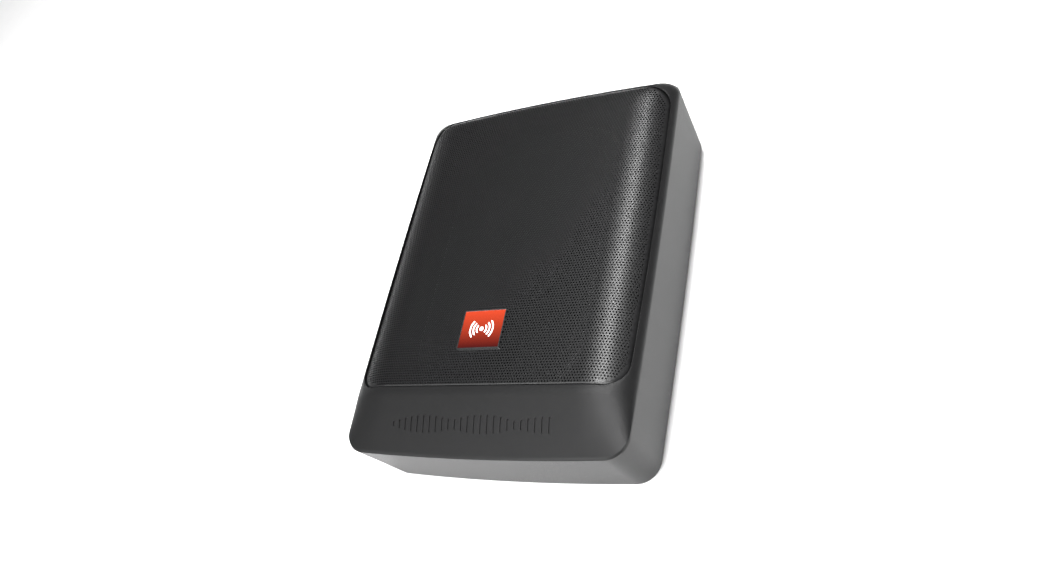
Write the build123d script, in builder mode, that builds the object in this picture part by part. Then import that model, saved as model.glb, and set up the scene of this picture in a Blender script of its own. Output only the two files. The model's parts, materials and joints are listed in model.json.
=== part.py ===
from build123d import *
import os
from math import cos, pi, radians, sin, tan

# Compact powered subwoofer for a car: a shallow aluminium housing that holds an oval driver,
# its amplifier and a recessed control bay.
# Frame: millimetres, z = 0 under the rubber feet, +Z along the grille's normal,
# -Y towards the plain strip, +Y towards the control bay, X across.

# ---- overall form -------------------------------------------------------------------------
WIDTH = 204.0
LENGTH = 271.0
FOOT_H = 5.0
CREASE_Z = 57.0
CROWN_Z = 69.0
BACK_W = 201.0
BACK_L = 264.0
CORNER_R = 15.0
SIDE_BOW = 1.5
END_BOW = 3.0
WALL = 3.0
SIDE_ROLL = 20.0
END_ROLL = 14.0
ROLL_POWER = 2.3
ROLL_STEPS = 6
STRIP_Y = -97.0
STRIP_LIP = 0.25

# ---- grille and badge ---------------------------------------------------------------------
OPEN_X = 98.5
OPEN_LOW_Y = -92.6
OPEN_HIGH_Y = 129.0
OPEN_LOW_R = 15.0
OPEN_HIGH_R = 18.0
GRILLE_T = 1.0
GRILLE_GAP = 0.3
LEDGE_W = 5.0
LEDGE_Z = 57.0
LEDGE_T = 3.0
FRAME_Z = 60.2
FRAME_T = 2.0
PEG_R = 1.6
BADGE_X = -5.5
BADGE_Y = -54.3
BADGE_W = 31.5
BADGE_H = 27.3
BADGE_RIM = 0.7
BADGE_FLOOR = 0.3
BADGE_RISE = 1.0
STUD_R = 1.0

# ---- driver -------------------------------------------------------------------------------
DRIVER_Y = 9.0
CREST_W = 58.5
CREST_L = 97.0
CREST_R = 32.0
ROLL_R = 6.7
BAFFLE_TOP = 47.0
BAFFLE_T = 4.0
GASKET_T = 0.8
FLANGE_TOP = 50.0
FLANGE_OUT = 19.0
SCREW_OUT = 14.5
BASKET_FLOOR = 28.5
BASKET_KNEE = 38.0
BASKET_WALL = 2.0
COIL_R = 25.0
NECK_Z = 39.0
SPIDER_Z = 34.5
MOTOR_R = 48.0
PLATE_T = 5.0
BACK_PLATE_Z = 9.5
BACK_PLATE_T = 3.5

# ---- rear cover and control bay -----------------------------------------------------------
COVER_T = 2.5
SEAL_T = 1.5
SEAL_W = 5.0
COVER_GAP = 0.3
COVER_SCREW_X = 93.0
COVER_SCREW_END_Y = -124.5
INSERT_X = 86.0
INSERT_Y = 117.0
BAY_X = 81.0
BAY_LOW = 12.0
BAY_HIGH = 41.0
PANEL_FACE = 123.5
PANEL_T = 2.0
WINDOW_X = 74.0
WINDOW_LOW = 15.0
WINDOW_HIGH = 37.0
ROW_Z = 25.0
BODY_BACK = 108.0

# ---- amplifier ----------------------------------------------------------------------------
BOARD_Z = 13.0
BOARD_T = 1.6
BOARD_TOP = BOARD_Z + BOARD_T
FIT = 0.05

COVER_TOP = FOOT_H + COVER_T
LEDGE_LOW = COVER_TOP + SEAL_T
PANEL_BACK = PANEL_FACE - PANEL_T


def save(part, label):
    """Label a finished piece and write it to its own file."""
    part.label = label
    export_step(part, f"parts/{label}.step")


def bowed_rectangle(half_w, low_y, high_y, corner_r):
    """Rounded rectangle whose sides and ends bow gently outward."""
    mid_y = (low_y + high_y) / 2
    side = half_w - SIDE_BOW
    low = low_y + END_BOW
    high = high_y - END_BOW
    with BuildSketch() as profile:
        with BuildLine():
            ThreePointArc((side, low), (half_w, mid_y), (side, high))
            ThreePointArc((side, high), (0, high_y), (-side, high))
            ThreePointArc((-side, high), (-half_w, mid_y), (-side, low))
            ThreePointArc((-side, low), (0, low_y), (side, low))
        make_face()
        fillet(profile.vertices(), corner_r)
    return profile.sketch


def outline(inset, half_w=WIDTH / 2, half_l=LENGTH / 2):
    """Plan outline of the housing, drawn in by an inset."""
    return bowed_rectangle(half_w - inset, inset - half_l, half_l - inset, CORNER_R - inset)


def opening_outline(inset, low_y=OPEN_LOW_Y):
    """Plan outline of the grille opening: straight along the strip, bowed elsewhere."""
    side = OPEN_X - inset
    low = low_y + inset
    high = OPEN_HIGH_Y - inset
    with BuildSketch() as profile:
        with BuildLine():
            Line((-side + SIDE_BOW, low), (side - SIDE_BOW, low))
            ThreePointArc((side - SIDE_BOW, low), (side, 0), (side - SIDE_BOW, high - END_BOW))
            ThreePointArc((side - SIDE_BOW, high - END_BOW), (0, high), (SIDE_BOW - side, high - END_BOW))
            ThreePointArc((SIDE_BOW - side, high - END_BOW), (-side, 0), (SIDE_BOW - side, low))
        make_face()
        corners = profile.vertices().sort_by(Axis.Y)
        fillet(corners[2:], OPEN_HIGH_R - inset)
        low_corners = profile.vertices().sort_by(Axis.Y)[:2]
        fillet(low_corners, OPEN_LOW_R - inset)
    return profile.sketch


def roll_point(step):
    """Rise and draw-in of the crown's superelliptic roll at one step, both from 0 to 1."""
    angle = pi / 2 * step / ROLL_STEPS
    rise = sin(angle) ** (2 / ROLL_POWER)
    return rise, 1 - max(cos(angle), 0) ** (2 / ROLL_POWER)


def pillow(inset, drop=0.0):
    """Crown above the crease: rolled sides and far end, cut off upright at the near end."""
    height = CROWN_Z - CREASE_Z - inset
    half_w = WIDTH / 2 - inset
    half_l = LENGTH / 2 - inset
    with BuildPart() as crown:
        for step in range(ROLL_STEPS + 1):
            rise, draw_in = roll_point(step)
            side = half_w - (SIDE_ROLL - inset) * draw_in
            end = half_l - (END_ROLL - inset) * draw_in
            with BuildSketch(Plane.XY.offset(CREASE_Z - drop + height * rise)):
                add(bowed_rectangle(side, -half_l, end, CORNER_R - inset))
        loft()
    return crown.part


def housing_form(inset):
    """Whole outer form, or the same form drawn in by a wall. The strip is a slope cut across the crown."""
    half_l = LENGTH / 2 - inset
    slope_top = CROWN_Z - inset
    with BuildPart() as form:
        add(pillow(inset))
        with BuildSketch(Plane.YZ):
            with BuildLine():
                Polyline((STRIP_Y, slope_top), (-half_l, CREASE_Z + STRIP_LIP), (-half_l - WALL, CREASE_Z + STRIP_LIP),
                         (-half_l - WALL, slope_top + WALL), (STRIP_Y, slope_top + WALL), close=True)
            make_face()
        extrude(amount=WIDTH / 2 + WALL, both=True, mode=Mode.SUBTRACT)
        with BuildSketch(Plane.XY.offset(FOOT_H)):
            add(outline(inset, BACK_W / 2, BACK_L / 2))
        with BuildSketch(Plane.XY.offset(CREASE_Z)):
            add(outline(inset))
        loft(ruled=True)
    return form.part


def racetrack(grow):
    """Rounded oblong that runs parallel to the surround's crest line."""
    radius = CREST_R + grow
    with BuildSketch() as profile:
        with Locations((0, DRIVER_Y)):
            RectangleRounded(2 * (CREST_W + grow), 2 * (CREST_L + grow), radius)
    return profile.sketch


def ring_between(outer, inner, z, thickness):
    """Flat ring between two outlines."""
    with BuildPart() as ring:
        with BuildSketch(Plane.XY.offset(z)):
            add(outer)
            add(inner, mode=Mode.SUBTRACT)
        extrude(amount=thickness)
    return ring.part


def block(low, high):
    """Upright block between two opposite corners."""
    size = [b - a for a, b in zip(low, high)]
    middle = [(a + b) / 2 for a, b in zip(low, high)]
    with BuildPart() as shape:
        with Locations(tuple(middle)):
            Box(*size)
    return shape.part


def peg(x, y, low, high, radius, bore=0.0):
    """Upright round peg or tube."""
    with BuildPart() as shape:
        with BuildSketch(Plane.XY.offset(low)):
            with Locations((x, y)):
                Circle(radius)
                if bore:
                    Circle(bore, mode=Mode.SUBTRACT)
        extrude(amount=high - low)
    return shape.part


def end_peg(x, z, low, high, radius, bore=0.0):
    """Round peg or tube that lies along Y."""
    with BuildPart() as shape:
        with BuildSketch(Plane.XZ.offset(-low)):
            with Locations((x, z)):
                Circle(radius)
                if bore:
                    Circle(bore, mode=Mode.SUBTRACT)
        extrude(amount=low - high)
    return shape.part


def cross_screw(shank_r, length, head_r, head_h, countersunk=False):
    """Screw with its head's top at z = 0, pointing down, with a cross recess."""
    with BuildPart() as screw:
        with BuildSketch(Plane.XZ):
            with BuildLine():
                if countersunk:
                    Polyline((0, 0), (head_r, 0), (shank_r, -head_h), (shank_r, -length), (0, -length))
                else:
                    Line((0, 0), (head_r * 0.5, 0))
                    Spline([(head_r * 0.5, 0), (head_r, -head_h)], tangents=[(1, 0), (0, -1)])
                    Polyline((head_r, -head_h), (shank_r, -head_h), (shank_r, -length), (0, -length))
                Line((0, -length), (0, 0))
            make_face()
        revolve(axis=Axis.Z)
        with BuildSketch(Plane.XY):
            Rectangle(head_r * 1.1, head_r * 0.28)
            Rectangle(head_r * 0.28, head_r * 1.1)
        extrude(amount=-head_h * 0.7, mode=Mode.SUBTRACT)
    return screw.part


os.makedirs("parts", exist_ok=True)

# ---- shared places ------------------------------------------------------------------------
cover_screws_xy = [(side * COVER_SCREW_X, y) for side in (-1, 1) for y in (-104, -36, 36, 104)]
cover_screws_xy += [(-45, COVER_SCREW_END_Y), (45, COVER_SCREW_END_Y)]
insert_xy = [(sx * INSERT_X, sy * INSERT_Y) for sx in (-1, 1) for sy in (-1, 1)]
foot_xy = [(sx * 70, sy * 98) for sx in (-1, 1) for sy in (-1, 1)]
driver_screws_xy = [(sx * (CREST_W + SCREW_OUT), DRIVER_Y + sy * 58) for sx in (-1, 1) for sy in (-1, 1)]
driver_screws_xy += [(sx * 26, DRIVER_Y + sy * (CREST_L + SCREW_OUT)) for sx in (-1, 1) for sy in (-1, 1)]
peg_xy = [(side * (OPEN_X - LEDGE_W / 2 - 0.6), y) for side in (-1, 1) for y in (-60, -15, 30, 75)]
peg_xy += [(-45, OPEN_HIGH_Y - LEDGE_W / 2 - 1.0), (45, OPEN_HIGH_Y - LEDGE_W / 2 - 1.0)]
panel_screws_xz = [(sx * 77.3, z) for sx in (-1, 1) for z in (16.5, 36.0)]
standoff_xy = [(-84, 69), (84, 69), (-84, 95), (84, 95), (-20, 99), (20, 99)]
stud_x = [BADGE_X - 10, BADGE_X + 10]

POWER_X = -61.0
FUSE_X = -37.5
RCA_X = (-18.0, -4.0)
REMOTE_X = 12.0
PHASE_X = 27.0
AUTO_X = 41.0
LEVEL_X = 54.5
CROSSOVER_X = 68.5
LED_X = 76.8
LED_Z = 26.0
RCA_R = 4.15
BUSH_R = 3.6
SHAFT_R = 3.0

# ---- main housing -------------------------------------------------------------------------
with BuildPart() as main_housing:
    add(housing_form(0))
    add(housing_form(WALL), mode=Mode.SUBTRACT)
    # baffle plate with the driver's cut-out
    with BuildSketch(Plane.XY.offset(BAFFLE_TOP - BAFFLE_T)):
        add(outline(WALL - 0.8))
        add(racetrack(8.5), mode=Mode.SUBTRACT)
    extrude(amount=BAFFLE_T)
    # shelf that carries the grille frame on three sides
    with BuildSketch(Plane.XY.offset(LEDGE_Z)):
        add(outline(WALL - 0.8))
        add(opening_outline(LEDGE_W, low_y=-LENGTH / 2), mode=Mode.SUBTRACT)
        with Locations((0, -LENGTH / 2)):
            Rectangle(WIDTH, 2 * (LENGTH / 2 + STRIP_Y + 9), mode=Mode.SUBTRACT)
    extrude(amount=LEDGE_T)
    # rebate that seats the rear cover's seal
    with BuildSketch(Plane.XY.offset(LEDGE_LOW)):
        add(outline(WALL - 0.8, BACK_W / 2, BACK_L / 2))
        add(outline(WALL + 8, BACK_W / 2, BACK_L / 2), mode=Mode.SUBTRACT)
    extrude(amount=3)
    # control bay walls, hanging from the baffle
    with Locations((0, 126, (9 + BAFFLE_TOP - BAFFLE_T + 1) / 2)):
        Box(2 * (BAY_X + WALL), 15, BAFFLE_TOP - BAFFLE_T + 1 - 9)
    # bosses
    with BuildSketch(Plane.XY.offset(LEDGE_LOW)):
        with Locations(*cover_screws_xy):
            Circle(4)
    extrude(amount=11)
    with BuildSketch(Plane.XY.offset(FOOT_H)):
        with Locations(*insert_xy):
            Circle(6)
    extrude(amount=15)
    with BuildSketch(Plane.XY.offset(BAFFLE_TOP - BAFFLE_T - 3)):
        with Locations(*driver_screws_xy):
            Circle(3.6)
    extrude(amount=3.5)
    with BuildSketch(Plane.XZ.offset(-113)):
        with Locations(*panel_screws_xz):
            Circle(3.2)
    extrude(amount=-6)
    # trim everything back to the outer form
    add(housing_form(0), mode=Mode.INTERSECT)
    # grille opening
    with BuildSketch(Plane.XY.offset(LEDGE_Z + LEDGE_T)):
        add(opening_outline(0))
    extrude(amount=CROWN_Z, mode=Mode.SUBTRACT)
    # bay pocket and the window behind the control panel
    with Locations((0, (PANEL_BACK + LENGTH / 2 + 1) / 2, (BAY_LOW + BAY_HIGH) / 2)):
        Box(2 * BAY_X, LENGTH / 2 + 1 - PANEL_BACK, BAY_HIGH - BAY_LOW, mode=Mode.SUBTRACT)
    with Locations((0, PANEL_BACK - 2, (WINDOW_LOW + WINDOW_HIGH) / 2)):
        Box(2 * WINDOW_X, 6, WINDOW_HIGH - WINDOW_LOW, mode=Mode.SUBTRACT)
    # screw, peg and insert holes
    with BuildSketch(Plane.XY.offset(FOOT_H)):
        with Locations(*cover_screws_xy):
            Circle(1.5 + FIT)
    extrude(amount=13, mode=Mode.SUBTRACT)
    with BuildSketch(Plane.XY.offset(FOOT_H)):
        with Locations(*insert_xy):
            Circle(3.6 + FIT)
    extrude(amount=10.3, mode=Mode.SUBTRACT)
    with BuildSketch(Plane.XY.offset(BAFFLE_TOP - BAFFLE_T - 2)):
        with Locations(*driver_screws_xy):
            Circle(1.6 + FIT)
    extrude(amount=BAFFLE_T + 3, mode=Mode.SUBTRACT)
    with BuildSketch(Plane.XY.offset(LEDGE_Z)):
        with Locations(*peg_xy):
            Circle(PEG_R + 0.2)
    extrude(amount=LEDGE_T, mode=Mode.SUBTRACT)
    with BuildSketch(Plane.XZ.offset(-114)):
        with Locations(*panel_screws_xz):
            Circle(1.2 + FIT)
        with Locations((LED_X, LED_Z)):
            Circle(1.5 + FIT)
    extrude(amount=-9, mode=Mode.SUBTRACT)
save(main_housing.part, "main_housing")

# ---- grille, its frame and the badge ------------------------------------------------------
with BuildPart() as grille_core:
    add(pillow(0, drop=GRILLE_T))
    with BuildSketch(Plane.XY.offset(FRAME_Z)):
        add(opening_outline(GRILLE_GAP + GRILLE_T))
    extrude(amount=CROWN_Z, mode=Mode.INTERSECT)

with BuildPart() as grille:
    add(pillow(0))
    with BuildSketch(Plane.XY.offset(FRAME_Z + FRAME_T)):
        add(opening_outline(GRILLE_GAP))
    extrude(amount=CROWN_Z, mode=Mode.INTERSECT)
    add(grille_core.part, mode=Mode.SUBTRACT)
    with BuildSketch(Plane.XY.offset(CROWN_Z - 5)):
        with Locations(*[(x, BADGE_Y) for x in stud_x]):
            Circle(STUD_R + FIT)
    extrude(amount=10, mode=Mode.SUBTRACT)
save(grille.part, "grille")

with BuildPart() as grille_frame:
    with BuildSketch(Plane.XY.offset(FRAME_Z)):
        add(opening_outline(GRILLE_GAP))
        add(opening_outline(LEDGE_W), mode=Mode.SUBTRACT)
    extrude(amount=FRAME_T)
    with BuildSketch(Plane.XY.offset(FRAME_Z)):
        with Locations(*peg_xy):
            Circle(PEG_R)
    extrude(amount=-LEDGE_T - 1.4)
save(grille_frame.part, "grille_frame")

with BuildPart() as badge_rim:
    with BuildSketch(Plane.XY.offset(CROWN_Z)):
        with Locations((BADGE_X, BADGE_Y)):
            RectangleRounded(BADGE_W, BADGE_H, 0.9)
    extrude(amount=BADGE_RISE)
    with BuildSketch(Plane.XY.offset(CROWN_Z + BADGE_FLOOR)):
        with Locations((BADGE_X, BADGE_Y)):
            Rectangle(BADGE_W - 2 * BADGE_RIM, BADGE_H - 2 * BADGE_RIM)
    extrude(amount=BADGE_RISE, mode=Mode.SUBTRACT)
    with BuildSketch(Plane.XY.offset(CROWN_Z)):
        with Locations(*[(x, BADGE_Y) for x in stud_x]):
            Circle(STUD_R)
    extrude(amount=-2.5)
save(badge_rim.part, "badge_rim")

with BuildPart() as badge_face:
    with BuildSketch(Plane.XY.offset(CROWN_Z + BADGE_FLOOR)):
        with Locations((BADGE_X, BADGE_Y)):
            Rectangle(BADGE_W - 2 * BADGE_RIM - 0.1, BADGE_H - 2 * BADGE_RIM - 0.1)
    extrude(amount=0.5)
save(badge_face.part, "badge_face")

with BuildPart() as badge_emblem:
    with BuildSketch(Plane.XY.offset(CROWN_Z + BADGE_FLOOR + 0.5)):
        with Locations((BADGE_X, BADGE_Y)):
            Circle(1.5)
            for radius in (3.6, 6.0, 8.4):
                for turn in (0, 180):
                    with BuildLine():
                        CenterArc((BADGE_X, BADGE_Y), radius, turn - 38, 76)
                        offset(amount=0.55, closed=True)
                    make_face()
    extrude(amount=0.2)
save(badge_emblem.part, "badge_emblem")

# ---- rear cover, its seal, screws, feet and bracket inserts --------------------------------
with BuildPart() as rear_cover:
    with BuildSketch(Plane.XY.offset(FOOT_H)):
        add(outline(WALL + COVER_GAP, BACK_W / 2, BACK_L / 2))
        with Locations(*insert_xy):
            Circle(6 + COVER_GAP, mode=Mode.SUBTRACT)
    extrude(amount=COVER_T)
    for depth, radius, taper in ((COVER_T, 1.7, 0), (1.5, 3.15, 45)):
        with BuildSketch(Plane.XY.offset(FOOT_H)):
            with Locations(*cover_screws_xy):
                Circle(radius)
        extrude(amount=depth, taper=taper, mode=Mode.SUBTRACT)
    # shallow stiffening ribs on the outer face
    with BuildSketch(Plane.XY.offset(FOOT_H)):
        with GridLocations(0, 16, 1, 9):
            SlotOverall(96, 3)
    extrude(amount=0.8, mode=Mode.SUBTRACT)
save(rear_cover.part, "rear_cover")

with BuildPart() as rear_cover_seal:
    with BuildSketch(Plane.XY.offset(COVER_TOP)):
        add(outline(WALL + 0.5, BACK_W / 2, BACK_L / 2))
        add(outline(WALL + 0.5 + SEAL_W, BACK_W / 2, BACK_L / 2), mode=Mode.SUBTRACT)
        with Locations(*cover_screws_xy):
            Circle(1.8, mode=Mode.SUBTRACT)
        with Locations(*insert_xy):
            Circle(6 + COVER_GAP, mode=Mode.SUBTRACT)
    extrude(amount=SEAL_T)
save(rear_cover_seal.part, "rear_cover_seal")

cover_screw = cross_screw(1.5, 12, 3.0, 1.5, countersunk=True)
with BuildPart() as rear_cover_screws:
    for x, y in cover_screws_xy:
        with Locations(Location((x, y, FOOT_H), (180, 0, 0))):
            add(cover_screw)
save(rear_cover_screws.part, "rear_cover_screws")

with BuildPart() as rubber_feet:
    with BuildSketch(Plane.XY.offset(FOOT_H)):
        with Locations(*foot_xy):
            Circle(9)
    extrude(amount=-FOOT_H, taper=6)
    fillet(rubber_feet.faces().sort_by(Axis.Z)[:4].edges(), 0.8)
save(rubber_feet.part, "rubber_feet")

with BuildPart() as bracket_inserts:
    with BuildSketch(Plane.XY.offset(FOOT_H + 0.2)):
        with Locations(*insert_xy):
            Circle(3.6)
            Circle(2.1, mode=Mode.SUBTRACT)
    extrude(amount=9.5)
save(bracket_inserts.part, "bracket_inserts")

# ---- driver: basket, gaskets, moving assembly and motor ------------------------------------
with BuildPart() as driver_gasket:
    add(ring_between(racetrack(FLANGE_OUT - 0.5), racetrack(9), BAFFLE_TOP, GASKET_T))
    with BuildSketch(Plane.XY.offset(BAFFLE_TOP)):
        with Locations(*driver_screws_xy):
            Circle(1.9)
    extrude(amount=GASKET_T, mode=Mode.SUBTRACT)
save(driver_gasket.part, "driver_gasket")


def basket_bowl(inset):
    """Bowl of the basket: steep upper wall, then a slope in to the motor seat."""
    with BuildPart() as bowl:
        with BuildSketch(Plane.XY.offset(BAFFLE_TOP + GASKET_T)):
            add(racetrack(8 - inset))
        with BuildSketch(Plane.XY.offset(BASKET_KNEE)):
            add(racetrack(2 - inset))
        loft(ruled=True)
        with BuildSketch(Plane.XY.offset(BASKET_KNEE)):
            add(racetrack(2 - inset))
        with BuildSketch(Plane.XY.offset(BASKET_FLOOR + inset)):
            with Locations((0, DRIVER_Y)):
                seat = 2 * (MOTOR_R - inset)
                RectangleRounded(seat, seat, seat / 2 - 0.1)
        loft(ruled=True)
    return bowl.part


SPIDER_SEAT_R = 43.5
with BuildPart() as driver_basket:
    with BuildSketch(Plane.XY.offset(BAFFLE_TOP + GASKET_T)):
        add(racetrack(FLANGE_OUT))
    extrude(amount=FLANGE_TOP - BAFFLE_TOP - GASKET_T)
    add(basket_bowl(0))
    add(basket_bowl(BASKET_WALL), mode=Mode.SUBTRACT)
    with BuildSketch(Plane.XY.offset(BAFFLE_TOP + GASKET_T)):
        add(racetrack(6))
    extrude(amount=5, mode=Mode.SUBTRACT)
    # spider seat
    with BuildSketch(Plane.XY.offset(BASKET_FLOOR)):
        with Locations((0, DRIVER_Y)):
            Circle(SPIDER_SEAT_R + 2.5)
            Circle(34, mode=Mode.SUBTRACT)
    extrude(amount=SPIDER_Z - BASKET_FLOOR)
    with BuildSketch(Plane.XY.offset(BASKET_FLOOR + BASKET_WALL)):
        with Locations((0, DRIVER_Y)):
            Circle(SPIDER_SEAT_R - 2)
    extrude(amount=SPIDER_Z, mode=Mode.SUBTRACT)
    with BuildSketch(Plane.XY.offset(BASKET_FLOOR - 1)):
        with Locations((0, DRIVER_Y)):
            Circle(34)
    extrude(amount=5, mode=Mode.SUBTRACT)
    # windows through the slope, four on each long side and two at each end
    with BuildSketch(Plane.XY.offset(BASKET_FLOOR - 1)):
        with Locations((0, DRIVER_Y)):
            for x in (-30, 30):
                for y in (-68, 68):
                    with Locations((x, y)):
                        RectangleRounded(34, 26, 4)
            for x in (-53, 53):
                for y in (-24, 0, 24):
                    with Locations((x, y)):
                        RectangleRounded(6, 17, 2)
    extrude(amount=9.5, mode=Mode.SUBTRACT)
    # pad for the terminal strip
    with Locations((0, DRIVER_Y + 92, 36.5)):
        Box(26, 8, 7)
    add(basket_bowl(BASKET_WALL), mode=Mode.SUBTRACT)
    with BuildSketch(Plane.XY.offset(BAFFLE_TOP)):
        with Locations(*driver_screws_xy):
            Circle(1.9)
    extrude(amount=5, mode=Mode.SUBTRACT)
save(driver_basket.part, "driver_basket")

save(ring_between(racetrack(10.6), racetrack(ROLL_R + 0.6), FLANGE_TOP + 0.6, 2.4), "surround_clamp_ring")

driver_screw = cross_screw(1.6, 9.5, 3.0, 2.0)
with BuildPart() as driver_screws:
    for x, y in driver_screws_xy:
        with Locations((x, y, FLANGE_TOP + 2.0)):
            add(driver_screw)
save(driver_screws.part, "driver_screws")

with BuildPart() as surround:
    with BuildLine():
        crest = racetrack(0).wires()[0]
        add(crest.moved(Location((0, 0, FLANGE_TOP))))
    section_plane = Plane(origin=(CREST_W, DRIVER_Y, FLANGE_TOP), x_dir=(1, 0, 0), z_dir=(0, -1, 0))
    with BuildSketch(section_plane):
        with BuildLine():
            Polyline((-ROLL_R + 0.6, 0.02), (-ROLL_R - 3.2, 0.02), (-ROLL_R - 3.2, 0.6), (-ROLL_R, 0.6))
            ThreePointArc((-ROLL_R, 0.6), (0, ROLL_R + 0.3), (ROLL_R, 0.6))
            Polyline((ROLL_R, 0.6), (ROLL_R + 3.2, 0.6), (ROLL_R + 3.2, 0.02), (ROLL_R - 0.6, 0.02))
            ThreePointArc((ROLL_R - 0.6, 0.02), (0, ROLL_R - 0.3), (-ROLL_R + 0.6, 0.02))
        make_face()
    sweep()
save(surround.part, "surround")

CONE_OUT = -(ROLL_R + 0.3)


def cone_form(lift):
    """Solid funnel from the coil's round neck to the oblong outer edge."""
    with BuildPart() as funnel:
        with BuildSketch(Plane.XY.offset(NECK_Z + lift)):
            with Locations((0, DRIVER_Y)):
                RectangleRounded(2 * COIL_R + 3, 2 * COIL_R + 3, COIL_R + 1.4)
        with BuildSketch(Plane.XY.offset(FLANGE_TOP - 0.3 + lift)):
            add(racetrack(CONE_OUT))
        loft(ruled=True)
    return funnel.part


with BuildPart() as cone:
    add(cone_form(0))
    add(cone_form(1.0), mode=Mode.SUBTRACT)
    with BuildSketch(Plane.XY.offset(FLANGE_TOP - 0.3)):
        add(racetrack(CONE_OUT))
    extrude(amount=3, mode=Mode.SUBTRACT)
    with BuildSketch(Plane.XY.offset(NECK_Z - 1)):
        with Locations((0, DRIVER_Y)):
            Circle(COIL_R + 0.35)
    extrude(amount=5, mode=Mode.SUBTRACT)
save(cone.part, "cone")

CAP_R = 29.5
CAP_RISE = 7.6
CAP_BASE_Z = 42.4
CAP_T = 0.8
cap_sphere_r = (CAP_R ** 2 + CAP_RISE ** 2) / (2 * CAP_RISE)
with BuildPart() as dust_cap:
    with Locations((0, DRIVER_Y, CAP_BASE_Z + CAP_RISE - cap_sphere_r)):
        Sphere(cap_sphere_r)
        Sphere(cap_sphere_r - CAP_T, mode=Mode.SUBTRACT)
    with Locations((0, DRIVER_Y, CAP_BASE_Z - cap_sphere_r)):
        Box(3 * cap_sphere_r, 3 * cap_sphere_r, 2 * cap_sphere_r, mode=Mode.SUBTRACT)
save(dust_cap.part, "dust_cap")

FORMER_LOW = 19.5
save(peg(0, DRIVER_Y, FORMER_LOW, 42.3, COIL_R + 0.3, bore=COIL_R), "voice_coil_former")
save(peg(0, DRIVER_Y, 20.5, 31.5, COIL_R + 1.3, bore=COIL_R + 0.3), "voice_coil_winding")

spider_x = [COIL_R + 0.6 + 0.5 * i for i in range(36)]
with BuildPart() as spider:
    with BuildSketch(Plane.XZ.offset(-DRIVER_Y)):
        with BuildLine():
            wave = [(x, SPIDER_Z + 0.9 + 0.6 * sin(2 * pi * (x - COIL_R) / 4.5)) for x in spider_x]
            lift = [(x, z + 0.5) for x, z in wave]
            Spline(wave)
            Line(wave[-1], lift[-1])
            Spline(list(reversed(lift)))
            Line(lift[0], wave[0])
        make_face()
    revolve(axis=Axis((0, DRIVER_Y, 0), (0, 0, 1)))
save(spider.part, "spider")

TOP_PLATE_Z = BASKET_FLOOR - PLATE_T
save(peg(0, DRIVER_Y, TOP_PLATE_Z, BASKET_FLOOR, MOTOR_R, bore=COIL_R + 2.2), "top_plate")
magnet_low = BACK_PLATE_Z + BACK_PLATE_T
save(peg(0, DRIVER_Y, magnet_low, TOP_PLATE_Z, MOTOR_R + 2, bore=COIL_R + 5), "magnet")

with BuildPart() as back_plate:
    with BuildSketch(Plane.XY.offset(BACK_PLATE_Z)):
        with Locations((0, DRIVER_Y)):
            Circle(MOTOR_R - 1)
    extrude(amount=BACK_PLATE_T)
    chamfer(back_plate.faces().sort_by(Axis.Z)[0].edges(), 1.0)
    with BuildSketch(Plane.XY.offset(BACK_PLATE_Z)):
        with Locations((0, DRIVER_Y)):
            Circle(COIL_R - 0.8)
    extrude(amount=BASKET_FLOOR - BACK_PLATE_Z)
    with BuildSketch(Plane.XY.offset(BACK_PLATE_Z)):
        with Locations((0, DRIVER_Y)):
            Circle(6)
    extrude(amount=BASKET_FLOOR, mode=Mode.SUBTRACT)
save(back_plate.part, "back_plate_and_pole")

# ---- terminal strip and the leads that stay inside the housing ------------------------------
TAB_X = 8.0
TERMINAL_Y = DRIVER_Y + 92
TAB_LOW = 28.0
STRIP_LOW = 31.4
with BuildPart() as terminal_strip:
    with Locations((0, TERMINAL_Y, STRIP_LOW + 0.8)):
        Box(24, 7, 1.6)
save(terminal_strip.part, "terminal_strip")

with BuildPart() as terminal_tabs:
    with Locations(*[(x, TERMINAL_Y, (TAB_LOW + STRIP_LOW) / 2) for x in (-TAB_X, TAB_X)]):
        Box(4.8, 0.8, STRIP_LOW - TAB_LOW)
save(terminal_tabs.part, "terminal_tabs")

LEAD_R = 0.8
PLUG_Y = 82.0


def bend_radii(points):
    """Largest easy arc at each inner point: 0.45 of the shorter run over tan of half the turn."""
    radii = []
    for before, here, after in zip(points, points[1:], points[2:]):
        into = Vector(*here) - Vector(*before)
        out = Vector(*after) - Vector(*here)
        shorter = min(into.length, out.length)
        radii.append(0.45 * shorter / tan(radians(into.get_angle(out) / 2)))
    return radii


def lead(points, radius):
    """Round lead along straight runs joined by tangent arcs."""
    radii = bend_radii(points)
    with BuildPart() as wire:
        with BuildLine() as route:
            FilletPolyline(*points, radius=radii)
        start = Plane(origin=points[0], z_dir=Vector(*points[1]) - Vector(*points[0]))
        with BuildSketch(start):
            Circle(radius)
        sweep()
    length = sum(edge.length for edge in route.edges())
    print("lead radii", [round(r, 1) for r in radii], "length", round(length, 1),
          "volume ratio", round(wire.part.volume / (length * pi * radius ** 2), 4))
    return wire.part


with BuildPart() as speaker_leads:
    for side in (-1, 1):
        lead_points = [(side * 3, PLUG_Y + 2 * FIT, 18), (side * 4.5, 91, 17.6), (side * TAB_X, TERMINAL_Y, 17.8),
                       (side * TAB_X, TERMINAL_Y, TAB_LOW)]
        add(lead(lead_points, LEAD_R))
save(speaker_leads.part, "speaker_leads")

with BuildPart() as tinsel_leads:
    for side in (-1, 1):
        tinsel_points = [(side * TAB_X, TERMINAL_Y - 2, 40.4), (side * TAB_X, TERMINAL_Y - 10, 41.6),
                         (side * (TAB_X + 1), TERMINAL_Y - 20, 40.6), (side * (TAB_X + 1), TERMINAL_Y - 31, 42.4)]
        add(lead(tinsel_points, 0.6))
save(tinsel_leads.part, "tinsel_leads")

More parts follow.
